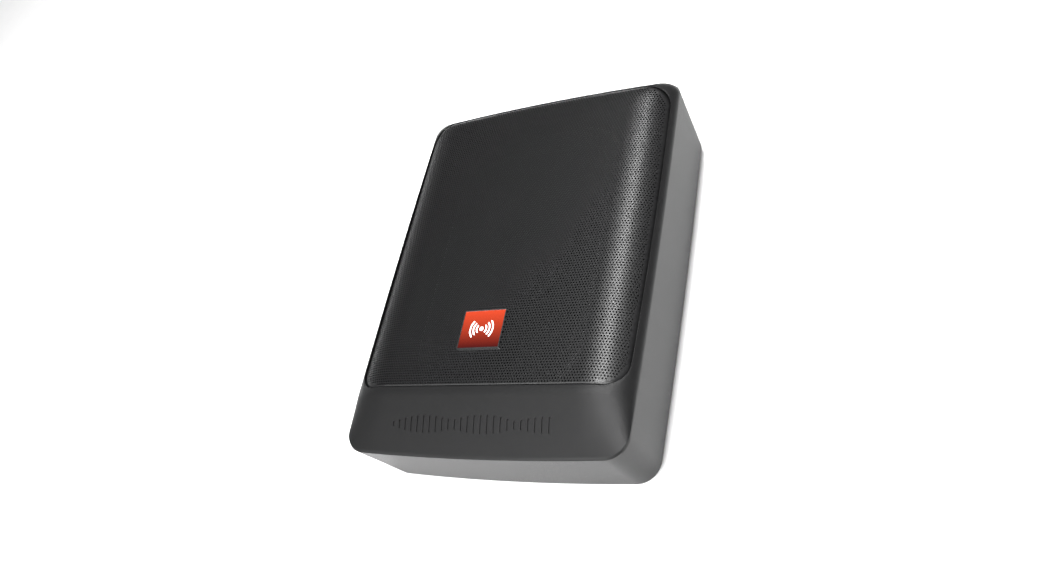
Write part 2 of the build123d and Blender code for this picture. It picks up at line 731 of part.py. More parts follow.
# ---- amplifier board and its components -----------------------------------------------------
with BuildPart() as amplifier_board:
    with BuildSketch(Plane.XY.offset(BOARD_Z)):
        with Locations((0, 81.5)):
            Rectangle(184, 37)
        with Locations((0, 108.6)):
            Rectangle(146, 19.2)
        with Locations(*standoff_xy):
            Circle(1.6, mode=Mode.SUBTRACT)
    extrude(amount=BOARD_T)
save(amplifier_board.part, "amplifier_board")

with BuildPart() as board_standoffs:
    with BuildSketch(Plane.XY.offset(COVER_TOP)):
        with Locations(*standoff_xy):
            RegularPolygon(2.9, 6, major_radius=False)
            Circle(1.3, mode=Mode.SUBTRACT)
    extrude(amount=BOARD_Z - COVER_TOP)
save(board_standoffs.part, "board_standoffs")

board_screw = cross_screw(1.25, 6.5, 2.7, 1.6)
with BuildPart() as board_screws:
    for x, y in standoff_xy:
        with Locations((x, y, BOARD_TOP + 1.6)):
            add(board_screw)
save(board_screws.part, "board_screws")

SPREADER_FACE = 93.8
with BuildPart() as heat_spreaders:
    with Locations(*[(side * (SPREADER_FACE + 1.4), 82, 24) for side in (-1, 1)]):
        Box(2.8, 36, 20)
save(heat_spreaders.part, "heat_spreaders")

transistor_y = (70, 82, 94)
PACKAGE_T = 4.4
with BuildPart() as power_transistors:
    for side in (-1, 1):
        for y in transistor_y:
            face = side * (SPREADER_FACE - PACKAGE_T / 2)
            with Locations((face, y, 26)):
                Box(PACKAGE_T, 10, 15)
            with Locations(*[(side * (SPREADER_FACE - 2.6), y + pitch, 16.55) for pitch in (-2.5, 0, 2.5)]):
                Box(0.6, 0.8, 3.9)
save(power_transistors.part, "power_transistors")

with BuildPart() as transistor_clamps:
    with Locations(*[(side * (SPREADER_FACE - PACKAGE_T - 0.8), 82, 29) for side in (-1, 1)]):
        Box(1.6, 34, 4)
save(transistor_clamps.part, "transistor_clamps")


def toroid(x, outer, inner, low, high, shrink):
    """Ring with rounded section, drawn in all round by a shrink."""
    with BuildPart() as ring:
        with BuildSketch(Plane.XZ.offset(-84)):
            with Locations((x + (outer + inner) / 2, (low + high) / 2)):
                RectangleRounded(outer - inner - 2 * shrink, high - low - 2 * shrink, 2.4 - shrink)
        revolve(axis=Axis((x, 84, 0), (0, 0, 1)))
    return ring.part


TRANSFORMER = (-52, 15.0, 5.5, BOARD_TOP, 27.6)
INDUCTOR = (52, 13.0, 5.5, BOARD_TOP, 25.6)
with BuildPart() as toroid_cores:
    for ring_size in (TRANSFORMER, INDUCTOR):
        add(toroid(*ring_size, 1.4))
save(toroid_cores.part, "toroid_cores")

with BuildPart() as toroid_windings:
    for ring_size in (TRANSFORMER, INDUCTOR):
        add(toroid(*ring_size, 0))
    add(toroid_cores.part, mode=Mode.SUBTRACT)
save(toroid_windings.part, "toroid_windings")

capacitors = [(-75.5, 82, 6.3, 14), (75.5, 82, 6.3, 14), (-27, 74, 4.5, 12), (-27, 86, 4.5, 12)]
capacitors += [(23, 82, 2.6, 8), (31, 82, 2.6, 8), (25, 91, 2.6, 8), (33, 91, 2.6, 8)]
with BuildPart() as capacitor_group:
    for x, y, radius, height in capacitors:
        with BuildSketch(Plane.XY.offset(BOARD_TOP)):
            with Locations((x, y)):
                Circle(radius)
        extrude(amount=height)
    fillet(capacitor_group.faces().filter_by(Axis.Z).filter_by(lambda f: f.center().Z > 20).edges(), 0.7)
save(capacitor_group.part, "capacitors")

with BuildPart() as control_chips:
    with Locations(*[(x, y, BOARD_TOP + 0.9) for x, y in ((-12, 70), (6, 70), (26, 70), (-10, 92), (2, 92))]):
        Box(9, 7, 1.8)
save(control_chips.part, "control_chips")

with BuildPart() as speaker_plug:
    with Locations((0, PLUG_Y - 4, BOARD_TOP + 3.4)):
        Box(12, 8, 6.8)
save(speaker_plug.part, "speaker_plug")

with BuildPart() as acoustic_wadding:
    with BuildSketch(Plane.XY.offset(14)):
        with Locations((0, -107)):
            RectangleRounded(150, 22, 6)
    extrude(amount=20)
save(acoustic_wadding.part, "acoustic_wadding")

# ---- control bay: panel, sockets, switches and knobs -----------------------------------------
POWER_W = 24.0
POWER_H = 12.0
FUSE_W = 20.0
FUSE_H = 8.0
SOCKET_W = 13.0
SOCKET_H = 12.0
SWITCH_W = 12.0
SWITCH_H = 6.0
LEVER_W = 3.0
LEVER_H = 2.2
POT_W = 10.0
PHASE_TRAVEL = 4.0
AUTO_TRAVEL = 2.0

with BuildPart() as control_panel:
    with Locations((0, PANEL_FACE - PANEL_T / 2, (BAY_LOW + BAY_HIGH) / 2)):
        Box(2 * (BAY_X - COVER_GAP), PANEL_T, BAY_HIGH - BAY_LOW - 2 * COVER_GAP)
    with BuildSketch(Plane.XZ.offset(-PANEL_FACE)):
        with Locations((POWER_X, ROW_Z)):
            Rectangle(POWER_W + 0.2, POWER_H + 0.2)
        with Locations((FUSE_X, ROW_Z)):
            Rectangle(FUSE_W + 0.2, FUSE_H + 0.2)
        with Locations(*[(x, ROW_Z) for x in RCA_X]):
            Circle(5.6)
        with Locations((REMOTE_X, ROW_Z - 1)):
            Rectangle(SOCKET_W + 0.2, SOCKET_H + 0.2)
        with Locations((PHASE_X, ROW_Z), (AUTO_X, ROW_Z)):
            Rectangle(LEVER_W + PHASE_TRAVEL + 0.6, LEVER_H + 0.6)
        with Locations((LEVEL_X, ROW_Z), (CROSSOVER_X, ROW_Z)):
            Circle(BUSH_R + FIT)
        with Locations((LED_X, LED_Z)):
            Circle(1.5 + FIT)
        with Locations(*panel_screws_xz):
            Circle(1.5)
    extrude(amount=PANEL_T, mode=Mode.SUBTRACT)
save(control_panel.part, "control_panel")

panel_screw = cross_screw(1.2, 8.5, 2.5, 1.5)
with BuildPart() as panel_screws:
    for x, z in panel_screws_xz:
        with Locations(Location((x, PANEL_FACE + 1.5, z), (-90, 0, 0))):
            add(panel_screw)
save(panel_screws.part, "panel_screws")


def end_socket(x, z, width, height, back, front, wall, floor):
    """Rectangular socket body that opens towards +Y."""
    with BuildPart() as socket:
        with Locations((x, (back + front) / 2, z)):
            Box(width, front - back, height)
        with Locations((x, (back + floor + front + 1) / 2, z)):
            Box(width - 2 * wall, front + 1 - back - floor, height - 2 * wall, mode=Mode.SUBTRACT)
    return socket.part


save(end_socket(POWER_X, ROW_Z, POWER_W, POWER_H, 106, 129, 1.5, 7), "power_connector")

with BuildPart() as power_pins:
    with BuildSketch(Plane.XZ.offset(-113)):
        with Locations((POWER_X, ROW_Z)):
            with GridLocations(4.8, 4.2, 4, 2):
                Rectangle(1.5, 1.5)
    extrude(amount=-6)
save(power_pins.part, "power_connector_pins")

save(end_socket(FUSE_X, ROW_Z, FUSE_W, FUSE_H, BODY_BACK, 126, 1.0, 3), "fuse_holder")
with BuildPart() as fuse:
    with Locations((FUSE_X, 126.0, ROW_Z)):
        Box(FUSE_W - 3, 7.6, 5.2)
    with Locations(*[(FUSE_X + x, 117.1, ROW_Z) for x in (-5.2, 5.2)]):
        Box(5, 10.2, 0.8)
save(fuse.part, "fuse")

rca_mid = sum(RCA_X) / 2
with BuildPart() as rca_block:
    with Locations((rca_mid, (BODY_BACK + PANEL_BACK) / 2, ROW_Z - 1)):
        Box(28, PANEL_BACK - BODY_BACK - 0.1, 16)
    with BuildSketch(Plane.XZ.offset(0.05 - PANEL_BACK)):
        with Locations(*[(x, ROW_Z) for x in RCA_X]):
            Circle(5.4)
    extrude(amount=-PANEL_T - 0.55)
save(rca_block.part, "rca_block")

SHELL_BACK = PANEL_FACE + 0.5
SHELL_FRONT = 132.5
with BuildPart() as rca_shells:
    for x in RCA_X:
        add(end_peg(x, ROW_Z, SHELL_BACK, SHELL_FRONT, RCA_R, bore=3.5))
save(rca_shells.part, "rca_shells")
for x, name in zip(RCA_X, ("rca_insert_left", "rca_insert_right")):
    save(end_peg(x, ROW_Z, SHELL_BACK, SHELL_FRONT - 1, 3.45, bore=1.65), name)

with BuildPart() as remote_jack:
    add(end_socket(REMOTE_X, ROW_Z - 1, SOCKET_W, SOCKET_H, BODY_BACK, 125, 1.2, 4))
    with Locations((REMOTE_X, 125, ROW_Z - 1 - SOCKET_H / 2 + 0.6)):
        Box(4, 6, 3, mode=Mode.SUBTRACT)
save(remote_jack.part, "remote_level_jack")

with BuildPart() as switch_bodies:
    for x in (PHASE_X, AUTO_X):
        with Locations((x, (114 + PANEL_BACK - 0.1) / 2, ROW_Z)):
            Box(SWITCH_W, PANEL_BACK - 0.1 - 114, SWITCH_H)
        with Locations((x, PANEL_BACK - 1.1, ROW_Z)):
            Box(LEVER_W + PHASE_TRAVEL + 0.6, 3, LEVER_H + 0.6, mode=Mode.SUBTRACT)
save(switch_bodies.part, "switch_bodies")

for x, name in ((PHASE_X - PHASE_TRAVEL / 2, "phase_switch_lever"), (AUTO_X, "auto_on_switch_lever")):
    with BuildPart() as lever:
        with Locations((x, (119.2 + 126) / 2, ROW_Z)):
            Box(LEVER_W, 126 - 119.2, LEVER_H)
        fillet(lever.edges().filter_by(Axis.Z).group_by(Axis.Y)[-1], 0.6)
    save(lever.part, name)

with BuildPart() as potentiometers:
    for x in (LEVEL_X, CROSSOVER_X):
        with Locations((x, (110 + PANEL_BACK - 0.1) / 2, ROW_Z)):
            Box(POT_W, PANEL_BACK - 0.1 - 110, 11)
        add(end_peg(x, ROW_Z, PANEL_BACK - 0.1, PANEL_FACE + 1, BUSH_R))
        with BuildSketch(Plane.XZ.offset(-116)):
            with Locations((x, ROW_Z)):
                Circle(SHAFT_R + FIT)
        extrude(amount=-12, mode=Mode.SUBTRACT)
save(potentiometers.part, "potentiometers")

KNOB_BACK = PANEL_FACE + 1.5
KNOB_FRONT = 132.5
for x, name in ((LEVEL_X, "level"), (CROSSOVER_X, "crossover")):
    save(end_peg(x, ROW_Z, 116.3, 130, SHAFT_R), f"{name}_shaft")
    with BuildPart() as knob:
        with BuildSketch(Plane.XZ.offset(-KNOB_BACK)):
            with Locations((x, ROW_Z)):
                Circle(5.6)
        extrude(amount=KNOB_BACK - KNOB_FRONT, taper=3)
        fillet(knob.faces().sort_by(Axis.Y)[-1].edges(), 0.6)
        with BuildSketch(Plane.XZ.offset(-KNOB_BACK)):
            with Locations((x, ROW_Z)):
                with PolarLocations(5.75, 18):
                    Circle(0.45)
        extrude(amount=KNOB_BACK - KNOB_FRONT + 1.2, mode=Mode.SUBTRACT)
        with BuildSketch(Plane.XZ.offset(-KNOB_FRONT)):
            with Locations((x, ROW_Z + 2.6)):
                Rectangle(0.9, 3.4)
        extrude(amount=0.6, mode=Mode.SUBTRACT)
        with BuildSketch(Plane.XZ.offset(-KNOB_BACK)):
            with Locations((x, ROW_Z)):
                Circle(SHAFT_R)
        extrude(amount=KNOB_BACK - 130, mode=Mode.SUBTRACT)
    save(knob.part, f"{name}_knob")

with BuildPart() as status_led:
    add(end_peg(LED_X, LED_Z, 118, PANEL_FACE, 1.5))
    with Locations((LED_X, PANEL_FACE, LED_Z)):
        Sphere(1.5)
save(status_led.part, "status_led")
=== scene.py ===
import bmesh
import bpy
import json
import numpy as np
from math import atan, cos, pi, radians, sin
from mathutils import Matrix, Vector
from mathutils.geometry import delaunay_2d_cdt


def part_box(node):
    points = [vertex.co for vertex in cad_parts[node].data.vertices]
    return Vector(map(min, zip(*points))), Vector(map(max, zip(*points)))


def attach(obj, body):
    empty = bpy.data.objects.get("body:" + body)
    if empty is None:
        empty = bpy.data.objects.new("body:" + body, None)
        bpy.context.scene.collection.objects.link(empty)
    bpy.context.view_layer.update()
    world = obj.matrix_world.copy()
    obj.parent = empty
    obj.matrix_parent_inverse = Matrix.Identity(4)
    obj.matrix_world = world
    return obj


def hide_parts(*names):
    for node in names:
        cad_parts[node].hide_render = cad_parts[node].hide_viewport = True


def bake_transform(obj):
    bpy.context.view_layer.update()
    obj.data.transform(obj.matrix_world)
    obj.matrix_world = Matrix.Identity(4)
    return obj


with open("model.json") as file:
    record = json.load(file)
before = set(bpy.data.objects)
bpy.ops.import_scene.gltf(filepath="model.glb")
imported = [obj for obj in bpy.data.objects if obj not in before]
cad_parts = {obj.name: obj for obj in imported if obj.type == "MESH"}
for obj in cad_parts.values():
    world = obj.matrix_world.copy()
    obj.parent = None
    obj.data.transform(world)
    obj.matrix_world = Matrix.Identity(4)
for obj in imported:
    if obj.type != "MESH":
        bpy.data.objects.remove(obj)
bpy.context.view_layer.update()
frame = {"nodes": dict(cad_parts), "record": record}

# ---- dimensions in millimetres --------------------------------------------------------------
# SIDE_ROLL, ROLL_POWER and CORNER_HIGH_R differ from the CAD, which has 20, 2.3 and 15.
MM = 0.001
housing_low, housing_high = [np.array(c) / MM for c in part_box("main_housing")]
HALF_L = 135.5
HALF_W = 102.0
BACK_HALF_W = 100.5
BACK_HALF_L = 132.0
BACK_Z = float(housing_low[2])
CREASE_Z = 57.0
CROWN_H = float(housing_high[2]) - CREASE_Z
CORNER_R = 15.0
CORNER_HIGH_R = 10.0
SIDE_BOW = 1.5
END_BOW = 3.0
WALL = 3.0
SIDE_ROLL = 32.0
END_ROLL = 14.0
ROLL_POWER = 1.9
STRIP_Y = -97.0
STRIP_LIP = 0.25
OPEN_X = 98.5
OPEN_LOW_Y = -92.6
OPEN_HIGH_Y = 129.0
OPEN_LOW_R = 15.0
OPEN_HIGH_R = 18.0
DRIVER_Y = 9.0
CREST_W = 58.5
CREST_L = 97.0
CREST_R = 32.0
ROLL_R = 6.7
FLANGE_TOP = 50.0
FRAME_Z = 60.2
FRAME_T = 2.0
FRAME_DIP = 3.6
GRILLE_FLAT_X = 70.0
GRILLE_ARC_R = 51.0
BAY_X = 81.0
BAY_LOW = 12.0
BAY_HIGH = 41.0
PANEL_BACK = 121.5
WINDOW_X = 74.0
WINDOW_LOW = 15.0
WINDOW_HIGH = 37.0


# ---- the crown as a height over the plan ----------------------------------------------------
def roll_rise(draw_in):
    """Superelliptic rise of the rolled edge, 0 at the crease to 1 on top."""
    return (1 - (1 - np.clip(draw_in, 0, 1)) ** ROLL_POWER) ** (1 / ROLL_POWER)


def outside_level(x, y, draw_in):
    """Signed distance of a point from the crown's outline at one draw-in."""
    side = HALF_W - SIDE_ROLL * draw_in
    mid = -END_ROLL * draw_in / 2
    half = HALF_L - END_ROLL * draw_in / 2
    across = np.abs(x) - side + SIDE_BOW * ((y - mid) / half) ** 2
    along = y - mid - half + END_BOW * (x / side) ** 2
    radius = np.where(y > 0, CORNER_HIGH_R, CORNER_R)
    corner = np.hypot(across + radius, along + radius) - radius
    in_corner = (across > -radius) & (along > -radius)
    return np.where(in_corner, corner, np.maximum(across, along))


def crown_height(x, y):
    """Height of the crown and of the sloping strip over plan points."""
    x = np.asarray(x, float)
    y = np.asarray(y, float)
    at = np.maximum(y, STRIP_Y)
    low = np.zeros_like(x)
    high = np.ones_like(x)
    for _ in range(26):
        middle = (low + high) / 2
        inside = outside_level(x, at, middle) <= 0
        low = np.where(inside, middle, low)
        high = np.where(inside, high, middle)
    slope = np.clip((y + HALF_L) / (STRIP_Y + HALF_L), 0, 2)
    soft = 0.04
    blend = np.clip(0.5 + (1 - slope) / (2 * soft), 0, 1)
    fall = blend * slope + (1 - blend) - soft * blend * (1 - blend)
    return CREASE_Z + (STRIP_LIP + (CROWN_H - STRIP_LIP) * fall) * roll_rise(low)


# ---- outlines with matching points ----------------------------------------------------------
N_SIDE = 40
N_CORNER = 12
N_END = 46


def corner_tangents(half_w, half_l, side_bow, end_bow, radius):
    """Centre and end angles of the arc that rounds a corner between two bowed sides."""
    y_touch = half_l - radius
    x_touch = half_w - radius
    for _ in range(40):
        side_angle = atan(2 * side_bow * y_touch / half_l ** 2)
        end_angle = atan(2 * end_bow * x_touch / half_w ** 2)
        x_mid = half_w - side_bow * (y_touch / half_l) ** 2 - radius * cos(side_angle)
        y_mid = half_l - end_bow * (x_touch / half_w) ** 2 - radius * cos(end_angle)
        y_touch = y_mid + radius * sin(side_angle)
        x_touch = x_mid + radius * sin(end_angle)
    return x_mid, y_mid, side_angle, end_angle, y_touch, x_touch


def bowed_outline(half_w, low_y, high_y, low_r, high_r, low_bow=END_BOW, mark=None):
    """Points anticlockwise round a bowed rectangle, from the lower end of its right side."""
    mid = (low_y + high_y) / 2
    half = (high_y - low_y) / 2
    top = corner_tangents(half_w, half, SIDE_BOW, END_BOW, high_r)
    base = corner_tangents(half_w, half, SIDE_BOW, low_bow, low_r)

    def side(v):
        return half_w - SIDE_BOW * (v / half) ** 2

    def end_x(reach):
        edge = mark if mark else 0.95 * reach
        inner = np.linspace(edge, -edge, N_END - 3)
        return np.concatenate([[reach, (reach + edge) / 2], inner, [-(reach + edge) / 2, -reach]])

    right = [(side(v), mid + v) for v in np.linspace(-base[4], top[4], N_SIDE + 1)]
    arcs = np.linspace(top[2], pi / 2 - top[3], N_CORNER + 1)[1:-1]
    top_right = [(top[0] + high_r * cos(a), mid + top[1] + high_r * sin(a)) for a in arcs]
    far = [(x, mid + half - END_BOW * (x / half_w) ** 2) for x in end_x(top[5])]
    top_left = [(-x, y) for x, y in reversed(top_right)]
    left = [(-x, y) for x, y in reversed(right)]
    arcs = np.linspace(base[2], pi / 2 - base[3], N_CORNER + 1)[1:-1]
    low_right = [(base[0] + low_r * cos(a), mid - base[1] - low_r * sin(a)) for a in reversed(arcs)]
    near = [(-x, mid - half + low_bow * (x / half_w) ** 2) for x in end_x(base[5])]
    low_left = [(-x, y) for x, y in reversed(low_right)]
    return np.array(right + top_right + far + top_left + left + low_left + near + low_right)


FAR_START = N_SIDE + 1 + N_CORNER - 1
FAR_MARKS = (FAR_START + 2, FAR_START + N_END - 2)


def racetrack(grow, count=12):
    """Points round the oblong that runs parallel to the surround's crest."""
    radius = CREST_R + grow
    straight_x = CREST_W - CREST_R
    straight_y = CREST_L - CREST_R
    points = []
    for quarter, (cx, cy) in enumerate(((1, 1), (-1, 1), (-1, -1), (1, -1))):
        for a in np.linspace(quarter * pi / 2, (quarter + 1) * pi / 2, count + 1):
            points.append((cx * straight_x + radius * cos(a), DRIVER_Y + cy * straight_y + radius * sin(a)))
        last = points[-1]
        run = 2 * (straight_x if quarter % 2 == 0 else straight_y)
        step = ((-1, 0), (0, -1), (1, 0), (0, 1))[quarter]
        for k in range(1, count):
            points.append((last[0] + step[0] * run * k / count, last[1] + step[1] * run * k / count))
    return np.array(points)


# ---- mesh helpers ---------------------------------------------------------------------------
def link_mesh(name, mesh, sharp=32.0, body="housing"):
    """A new piece: smooth faces, edges over the sharp angle kept hard, riding on a body."""
    bm = bmesh.new()
    bm.from_mesh(mesh)
    bmesh.ops.recalc_face_normals(bm, faces=bm.faces)
    for face in bm.faces:
        face.smooth = True
    for edge in bm.edges:
        edge.smooth = len(edge.link_faces) == 2 and edge.calc_face_angle(0) < radians(sharp)
    bm.to_mesh(mesh)
    bm.free()
    piece = bpy.data.objects.new(name, mesh)
    bpy.context.scene.collection.objects.link(piece)
    if body:
        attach(piece, body)
    return piece


def build(name, verts, faces, sharp=32.0, body="housing"):
    """A piece from points in millimetres and faces."""
    mesh = bpy.data.meshes.new(name)
    mesh.from_pydata([tuple(v) for v in np.asarray(verts, float) * MM], [], faces)
    mesh.validate()
    return link_mesh(name, mesh, sharp, body)


def ring_faces(start_a, start_b, count):
    """Quads between two closed loops of the same length."""
    return [(start_a + j, start_a + (j + 1) % count, start_b + (j + 1) % count, start_b + j)
            for j in range(count)]


def loops_mesh(loops):
    """Points and quads of a tube of loops whose last loop joins the first."""
    count = len(loops[0])
    verts = np.concatenate(loops)
    faces = []
    for i in range(len(loops)):
        faces += ring_faces(i * count, ((i + 1) % len(loops)) * count, count)
    return verts, faces


def at_height(outline, z):
    """Plan outline lifted to a height, one value or one for each point."""
    return np.column_stack([outline, np.broadcast_to(z, len(outline))])


# ---- housing shell --------------------------------------------------------------------------
CROWN_LOOPS = 40
RIM_WALL_LOW = 56.4
SPREAD_GAPS = (8, 25)
SPREAD_POWERS = (2.2, 1.0)
crease = bowed_outline(HALF_W, -HALF_L, HALF_L, CORNER_R, CORNER_HIGH_R)
opening = bowed_outline(OPEN_X, OPEN_LOW_Y, OPEN_HIGH_Y, OPEN_LOW_R, OPEN_HIGH_R, low_bow=0.0)
gap = np.hypot(*(crease - opening).T)
spread = np.interp(gap, SPREAD_GAPS, SPREAD_POWERS)


def wall_loop(inset, z, mark):
    """Loop of the side wall, between the back outline and the crease."""
    share = (z - BACK_Z) / (CREASE_Z - BACK_Z)
    high_r = CORNER_R + (CORNER_HIGH_R - CORNER_R) * share - inset
    half_w = BACK_HALF_W + (HALF_W - BACK_HALF_W) * share - inset
    half_l = BACK_HALF_L + (HALF_L - BACK_HALF_L) * share - inset
    return at_height(bowed_outline(half_w, -half_l, half_l, CORNER_R - inset, high_r, mark=mark), z)


outer_levels = [BACK_Z, BACK_Z + 1.5, BAY_LOW, 20, 30, BAY_HIGH, 47, 52, 55.5]
loops = [wall_loop(0, z, BAY_X) for z in outer_levels]
loops.append(at_height(crease, CREASE_Z))
for k in list(range(1, CROWN_LOOPS - 2)) + [CROWN_LOOPS]:
    share = ((k / CROWN_LOOPS) ** spread)[:, None]
    plan = crease * (1 - share) + opening * share
    loops.append(at_height(plan, crown_height(*plan.T)))
rim_index = len(loops) - 1
loops.append(at_height(opening, RIM_WALL_LOW))
inner_levels = [55, 50, BAY_HIGH + WALL, 30, 20, BAY_LOW - WALL, BACK_Z]
first_inner = len(loops)
loops += [wall_loop(WALL, z, BAY_X + WALL) for z in inner_levels]

shell_verts, shell_faces = loops_mesh(loops)
per_loop = len(loops[0])


def hole_ring(low_loop, high_loop):
    """Vertex numbers round the bay's hole between two wall loops, and the faces it removes."""
    step = 1 if high_loop > low_loop else -1
    levels = list(range(low_loop, high_loop + step, step))
    first, last = FAR_MARKS
    ring = [levels[0] * per_loop + j for j in range(first, last + 1)]
    ring += [level * per_loop + last for level in levels[1:]]
    ring += [levels[-1] * per_loop + j for j in range(last - 1, first - 1, -1)]
    ring += [level * per_loop + first for level in reversed(levels[1:-1])]
    gone = {frozenset((a * per_loop + j, b * per_loop + j)) for a, b in zip(levels, levels[1:])
            for j in range(first, last)}
    return ring, gone


outer_ring, outer_gone = hole_ring(outer_levels.index(BAY_LOW), outer_levels.index(BAY_HIGH))
inner_ring, inner_gone = hole_ring(first_inner + inner_levels.index(BAY_LOW - WALL),
                                   first_inner + inner_levels.index(BAY_HIGH + WALL))
gone = outer_gone | inner_gone
shell_faces = [f for f in shell_faces if frozenset((f[0], f[3])) not in gone]


def box_map(points, half_x, low, high, y):
    """Ring points moved onto a rectangle across the bay at one depth."""
    x_span = np.abs(points[:, 0]).max()
    z_low, z_high = points[:, 2].min(), points[:, 2].max()
    x = points[:, 0] * half_x / x_span
    z = low + (points[:, 2] - z_low) * (high - low) / (z_high - z_low)
    return np.column_stack([x, np.full(len(x), y), z])


outer_points = shell_verts[outer_ring]
inner_points = shell_verts[inner_ring]
bay_rings = [box_map(outer_points, BAY_X, BAY_LOW, BAY_HIGH, PANEL_BACK),
             box_map(outer_points, WINDOW_X, WINDOW_LOW, WINDOW_HIGH, PANEL_BACK),
             box_map(outer_points, WINDOW_X, WINDOW_LOW, WINDOW_HIGH, PANEL_BACK - WALL),
             box_map(inner_points, BAY_X + WALL, BAY_LOW - WALL, BAY_HIGH + WALL, PANEL_BACK - WALL)]
ring_count = len(outer_ring)
ring_numbers = [outer_ring]
for ring in bay_rings:
    start = len(shell_verts)
    shell_verts = np.concatenate([shell_verts, ring])
    ring_numbers.append(list(range(start, start + ring_count)))
ring_numbers.append(inner_ring)
for one, two in zip(ring_numbers, ring_numbers[1:]):
    for j in range(ring_count):
        following = (j + 1) % ring_count
        shell_faces.append((one[j], one[following], two[following], two[j]))

shell_mesh = bpy.data.meshes.new("housing_shell")
shell_mesh.from_pydata([tuple(v) for v in shell_verts * MM], [], shell_faces)
EDGE_ROUND = 0.4
bm = bmesh.new()
bm.from_mesh(shell_mesh)
bmesh.ops.recalc_face_normals(bm, faces=bm.faces)
bm.verts.ensure_lookup_table()


def loop_edges(numbers):
    """Edges along a closed run of vertex numbers."""
    found = []
    for a, b in zip(numbers, numbers[1:] + numbers[:1]):
        found.append(bm.edges.get((bm.verts[a], bm.verts[b])))
    return [edge for edge in found if edge]


rounded = loop_edges(list(range(rim_index * per_loop, (rim_index + 1) * per_loop)))
rounded += loop_edges(list(range(per_loop)))
rounded += loop_edges(outer_ring)
bmesh.ops.bevel(bm, geom=rounded, offset=EDGE_ROUND * MM, offset_type="OFFSET", segments=3, profile=0.5,
                affect="EDGES", clamp_overlap=False)
bm.to_mesh(shell_mesh)
bm.free()

# marking pressed into the strip: a row of level bars under a smooth envelope
MARK_X = (-61.0, 54.0)
MARK_Y = (-121.5, -110.0)
MARK_COUNT = 25
MARK_DEPTH = 0.6
BAR_W = 1.9
BAR_LOW_H = 3.4
CUTTER_RISE = 2


def slot_outline(x, y, width, height, steps=8):
    """Upright slot with round ends."""
    half = width / 2
    run = height / 2 - half
    top = [(x + half * cos(a), y + run + half * sin(a)) for a in np.linspace(0, pi, steps)]
    low = [(x - half * cos(a), y - run - half * sin(a)) for a in np.linspace(0, pi, steps)]
    return np.array(top + low)


cut_verts, cut_faces = [], []
for k in range(MARK_COUNT):
    share = k / (MARK_COUNT - 1)
    x = MARK_X[0] + BAR_W / 2 + (MARK_X[1] - MARK_X[0] - BAR_W) * share
    swell = abs(sin(pi * share * 2.5)) * 0.75 + 0.25 * sin(pi * share)
    height = BAR_LOW_H + (MARK_Y[1] - MARK_Y[0] - BAR_LOW_H) * min(1.0, swell)
    plan = slot_outline(x, sum(MARK_Y) / 2, BAR_W, height)
    surface = crown_height(*plan.T)
    start = len(cut_verts)
    count = len(plan)
    cut_verts += list(at_height(plan, surface - MARK_DEPTH))
    cut_verts += list(at_height(plan, surface + CUTTER_RISE))
    cut_faces += ring_faces(start, start + count, count)
    cut_faces += [tuple(range(start + count - 1, start - 1, -1)),
                  tuple(range(start + count, start + 2 * count))]
cut_mesh = bpy.data.meshes.new("marking_cutter")
cut_mesh.from_pydata([tuple(np.array(v) * MM) for v in cut_verts], [], cut_faces)
cutter = bpy.data.objects.new("marking_cutter", cut_mesh)
blank = bpy.data.objects.new("housing_blank", shell_mesh)
for item in (cutter, blank):
    bpy.context.scene.collection.objects.link(item)
cut = blank.modifiers.new("marking", "BOOLEAN")
cut.operation = "DIFFERENCE"
cut.solver = "EXACT"
cut.object = cutter
bpy.context.view_layer.update()
marked = bpy.data.meshes.new_from_object(blank.evaluated_get(bpy.context.evaluated_depsgraph_get()))
marked.name = "housing_shell"
for item in (cutter, blank):
    bpy.data.objects.remove(item)
housing_shell = link_mesh("housing_shell", marked)

# baffle plate, grille frame and the grille's shelf
BAFFLE_LOW = 43.0
BAFFLE_HIGH = 47.0
BAFFLE_GAP = 0.2
BAFFLE_CORNER_R = 12
CUT_OUT_GROW = 8.5
DIP_START_X = 75
DIP_RUN = 15
FRAME_GAP = 0.35
SEAT_INSET = 5.0
SHELF_BITE = 0.9
SHELF_DROP = 3.2
SHELF_T = 3.0
plate = bowed_outline(HALF_W - WALL - BAFFLE_GAP, BAFFLE_GAP + WALL - HALF_L, HALF_L - WALL - BAFFLE_GAP,
                      BAFFLE_CORNER_R, BAFFLE_CORNER_R)


def hole_matched(outline, hole):
    """Hole points placed at the same bearings as the outline's points."""
    centre = np.array([0, DRIVER_Y])
    bearing = np.arctan2(*(outline - centre).T[::-1])
    rel = hole - centre
    hole_bearing = np.arctan2(*rel.T[::-1])
    order = np.argsort(hole_bearing)
    radius = np.interp(bearing, hole_bearing[order], np.hypot(*rel.T)[order], period=2 * pi)
    return centre + np.column_stack([radius * np.cos(bearing), radius * np.sin(bearing)])


cut_out = hole_matched(plate, racetrack(CUT_OUT_GROW, 40))
verts, faces = loops_mesh([at_height(plate, BAFFLE_LOW), at_height(plate, BAFFLE_HIGH),
                           at_height(cut_out, BAFFLE_HIGH), at_height(cut_out, BAFFLE_LOW)])
baffle = build("baffle_plate", verts, faces)


def frame_level(outline):
    """Underside of the grille frame: lower along the sides, where the grille falls away."""
    share = np.clip((np.abs(outline[:, 0]) - DIP_START_X) / DIP_RUN, 0, 1)
    return FRAME_Z - FRAME_DIP * share * share * (3 - 2 * share)


def opening_inset(inset, further=0.0):
    """Grille opening drawn in by an inset and a further step; below 0 it reaches into the rim."""
    return bowed_outline(OPEN_X - inset - further, OPEN_LOW_Y + inset + further,
                         OPEN_HIGH_Y - inset - further, OPEN_LOW_R - inset - further,
                         OPEN_HIGH_R - inset - further, low_bow=0.0)


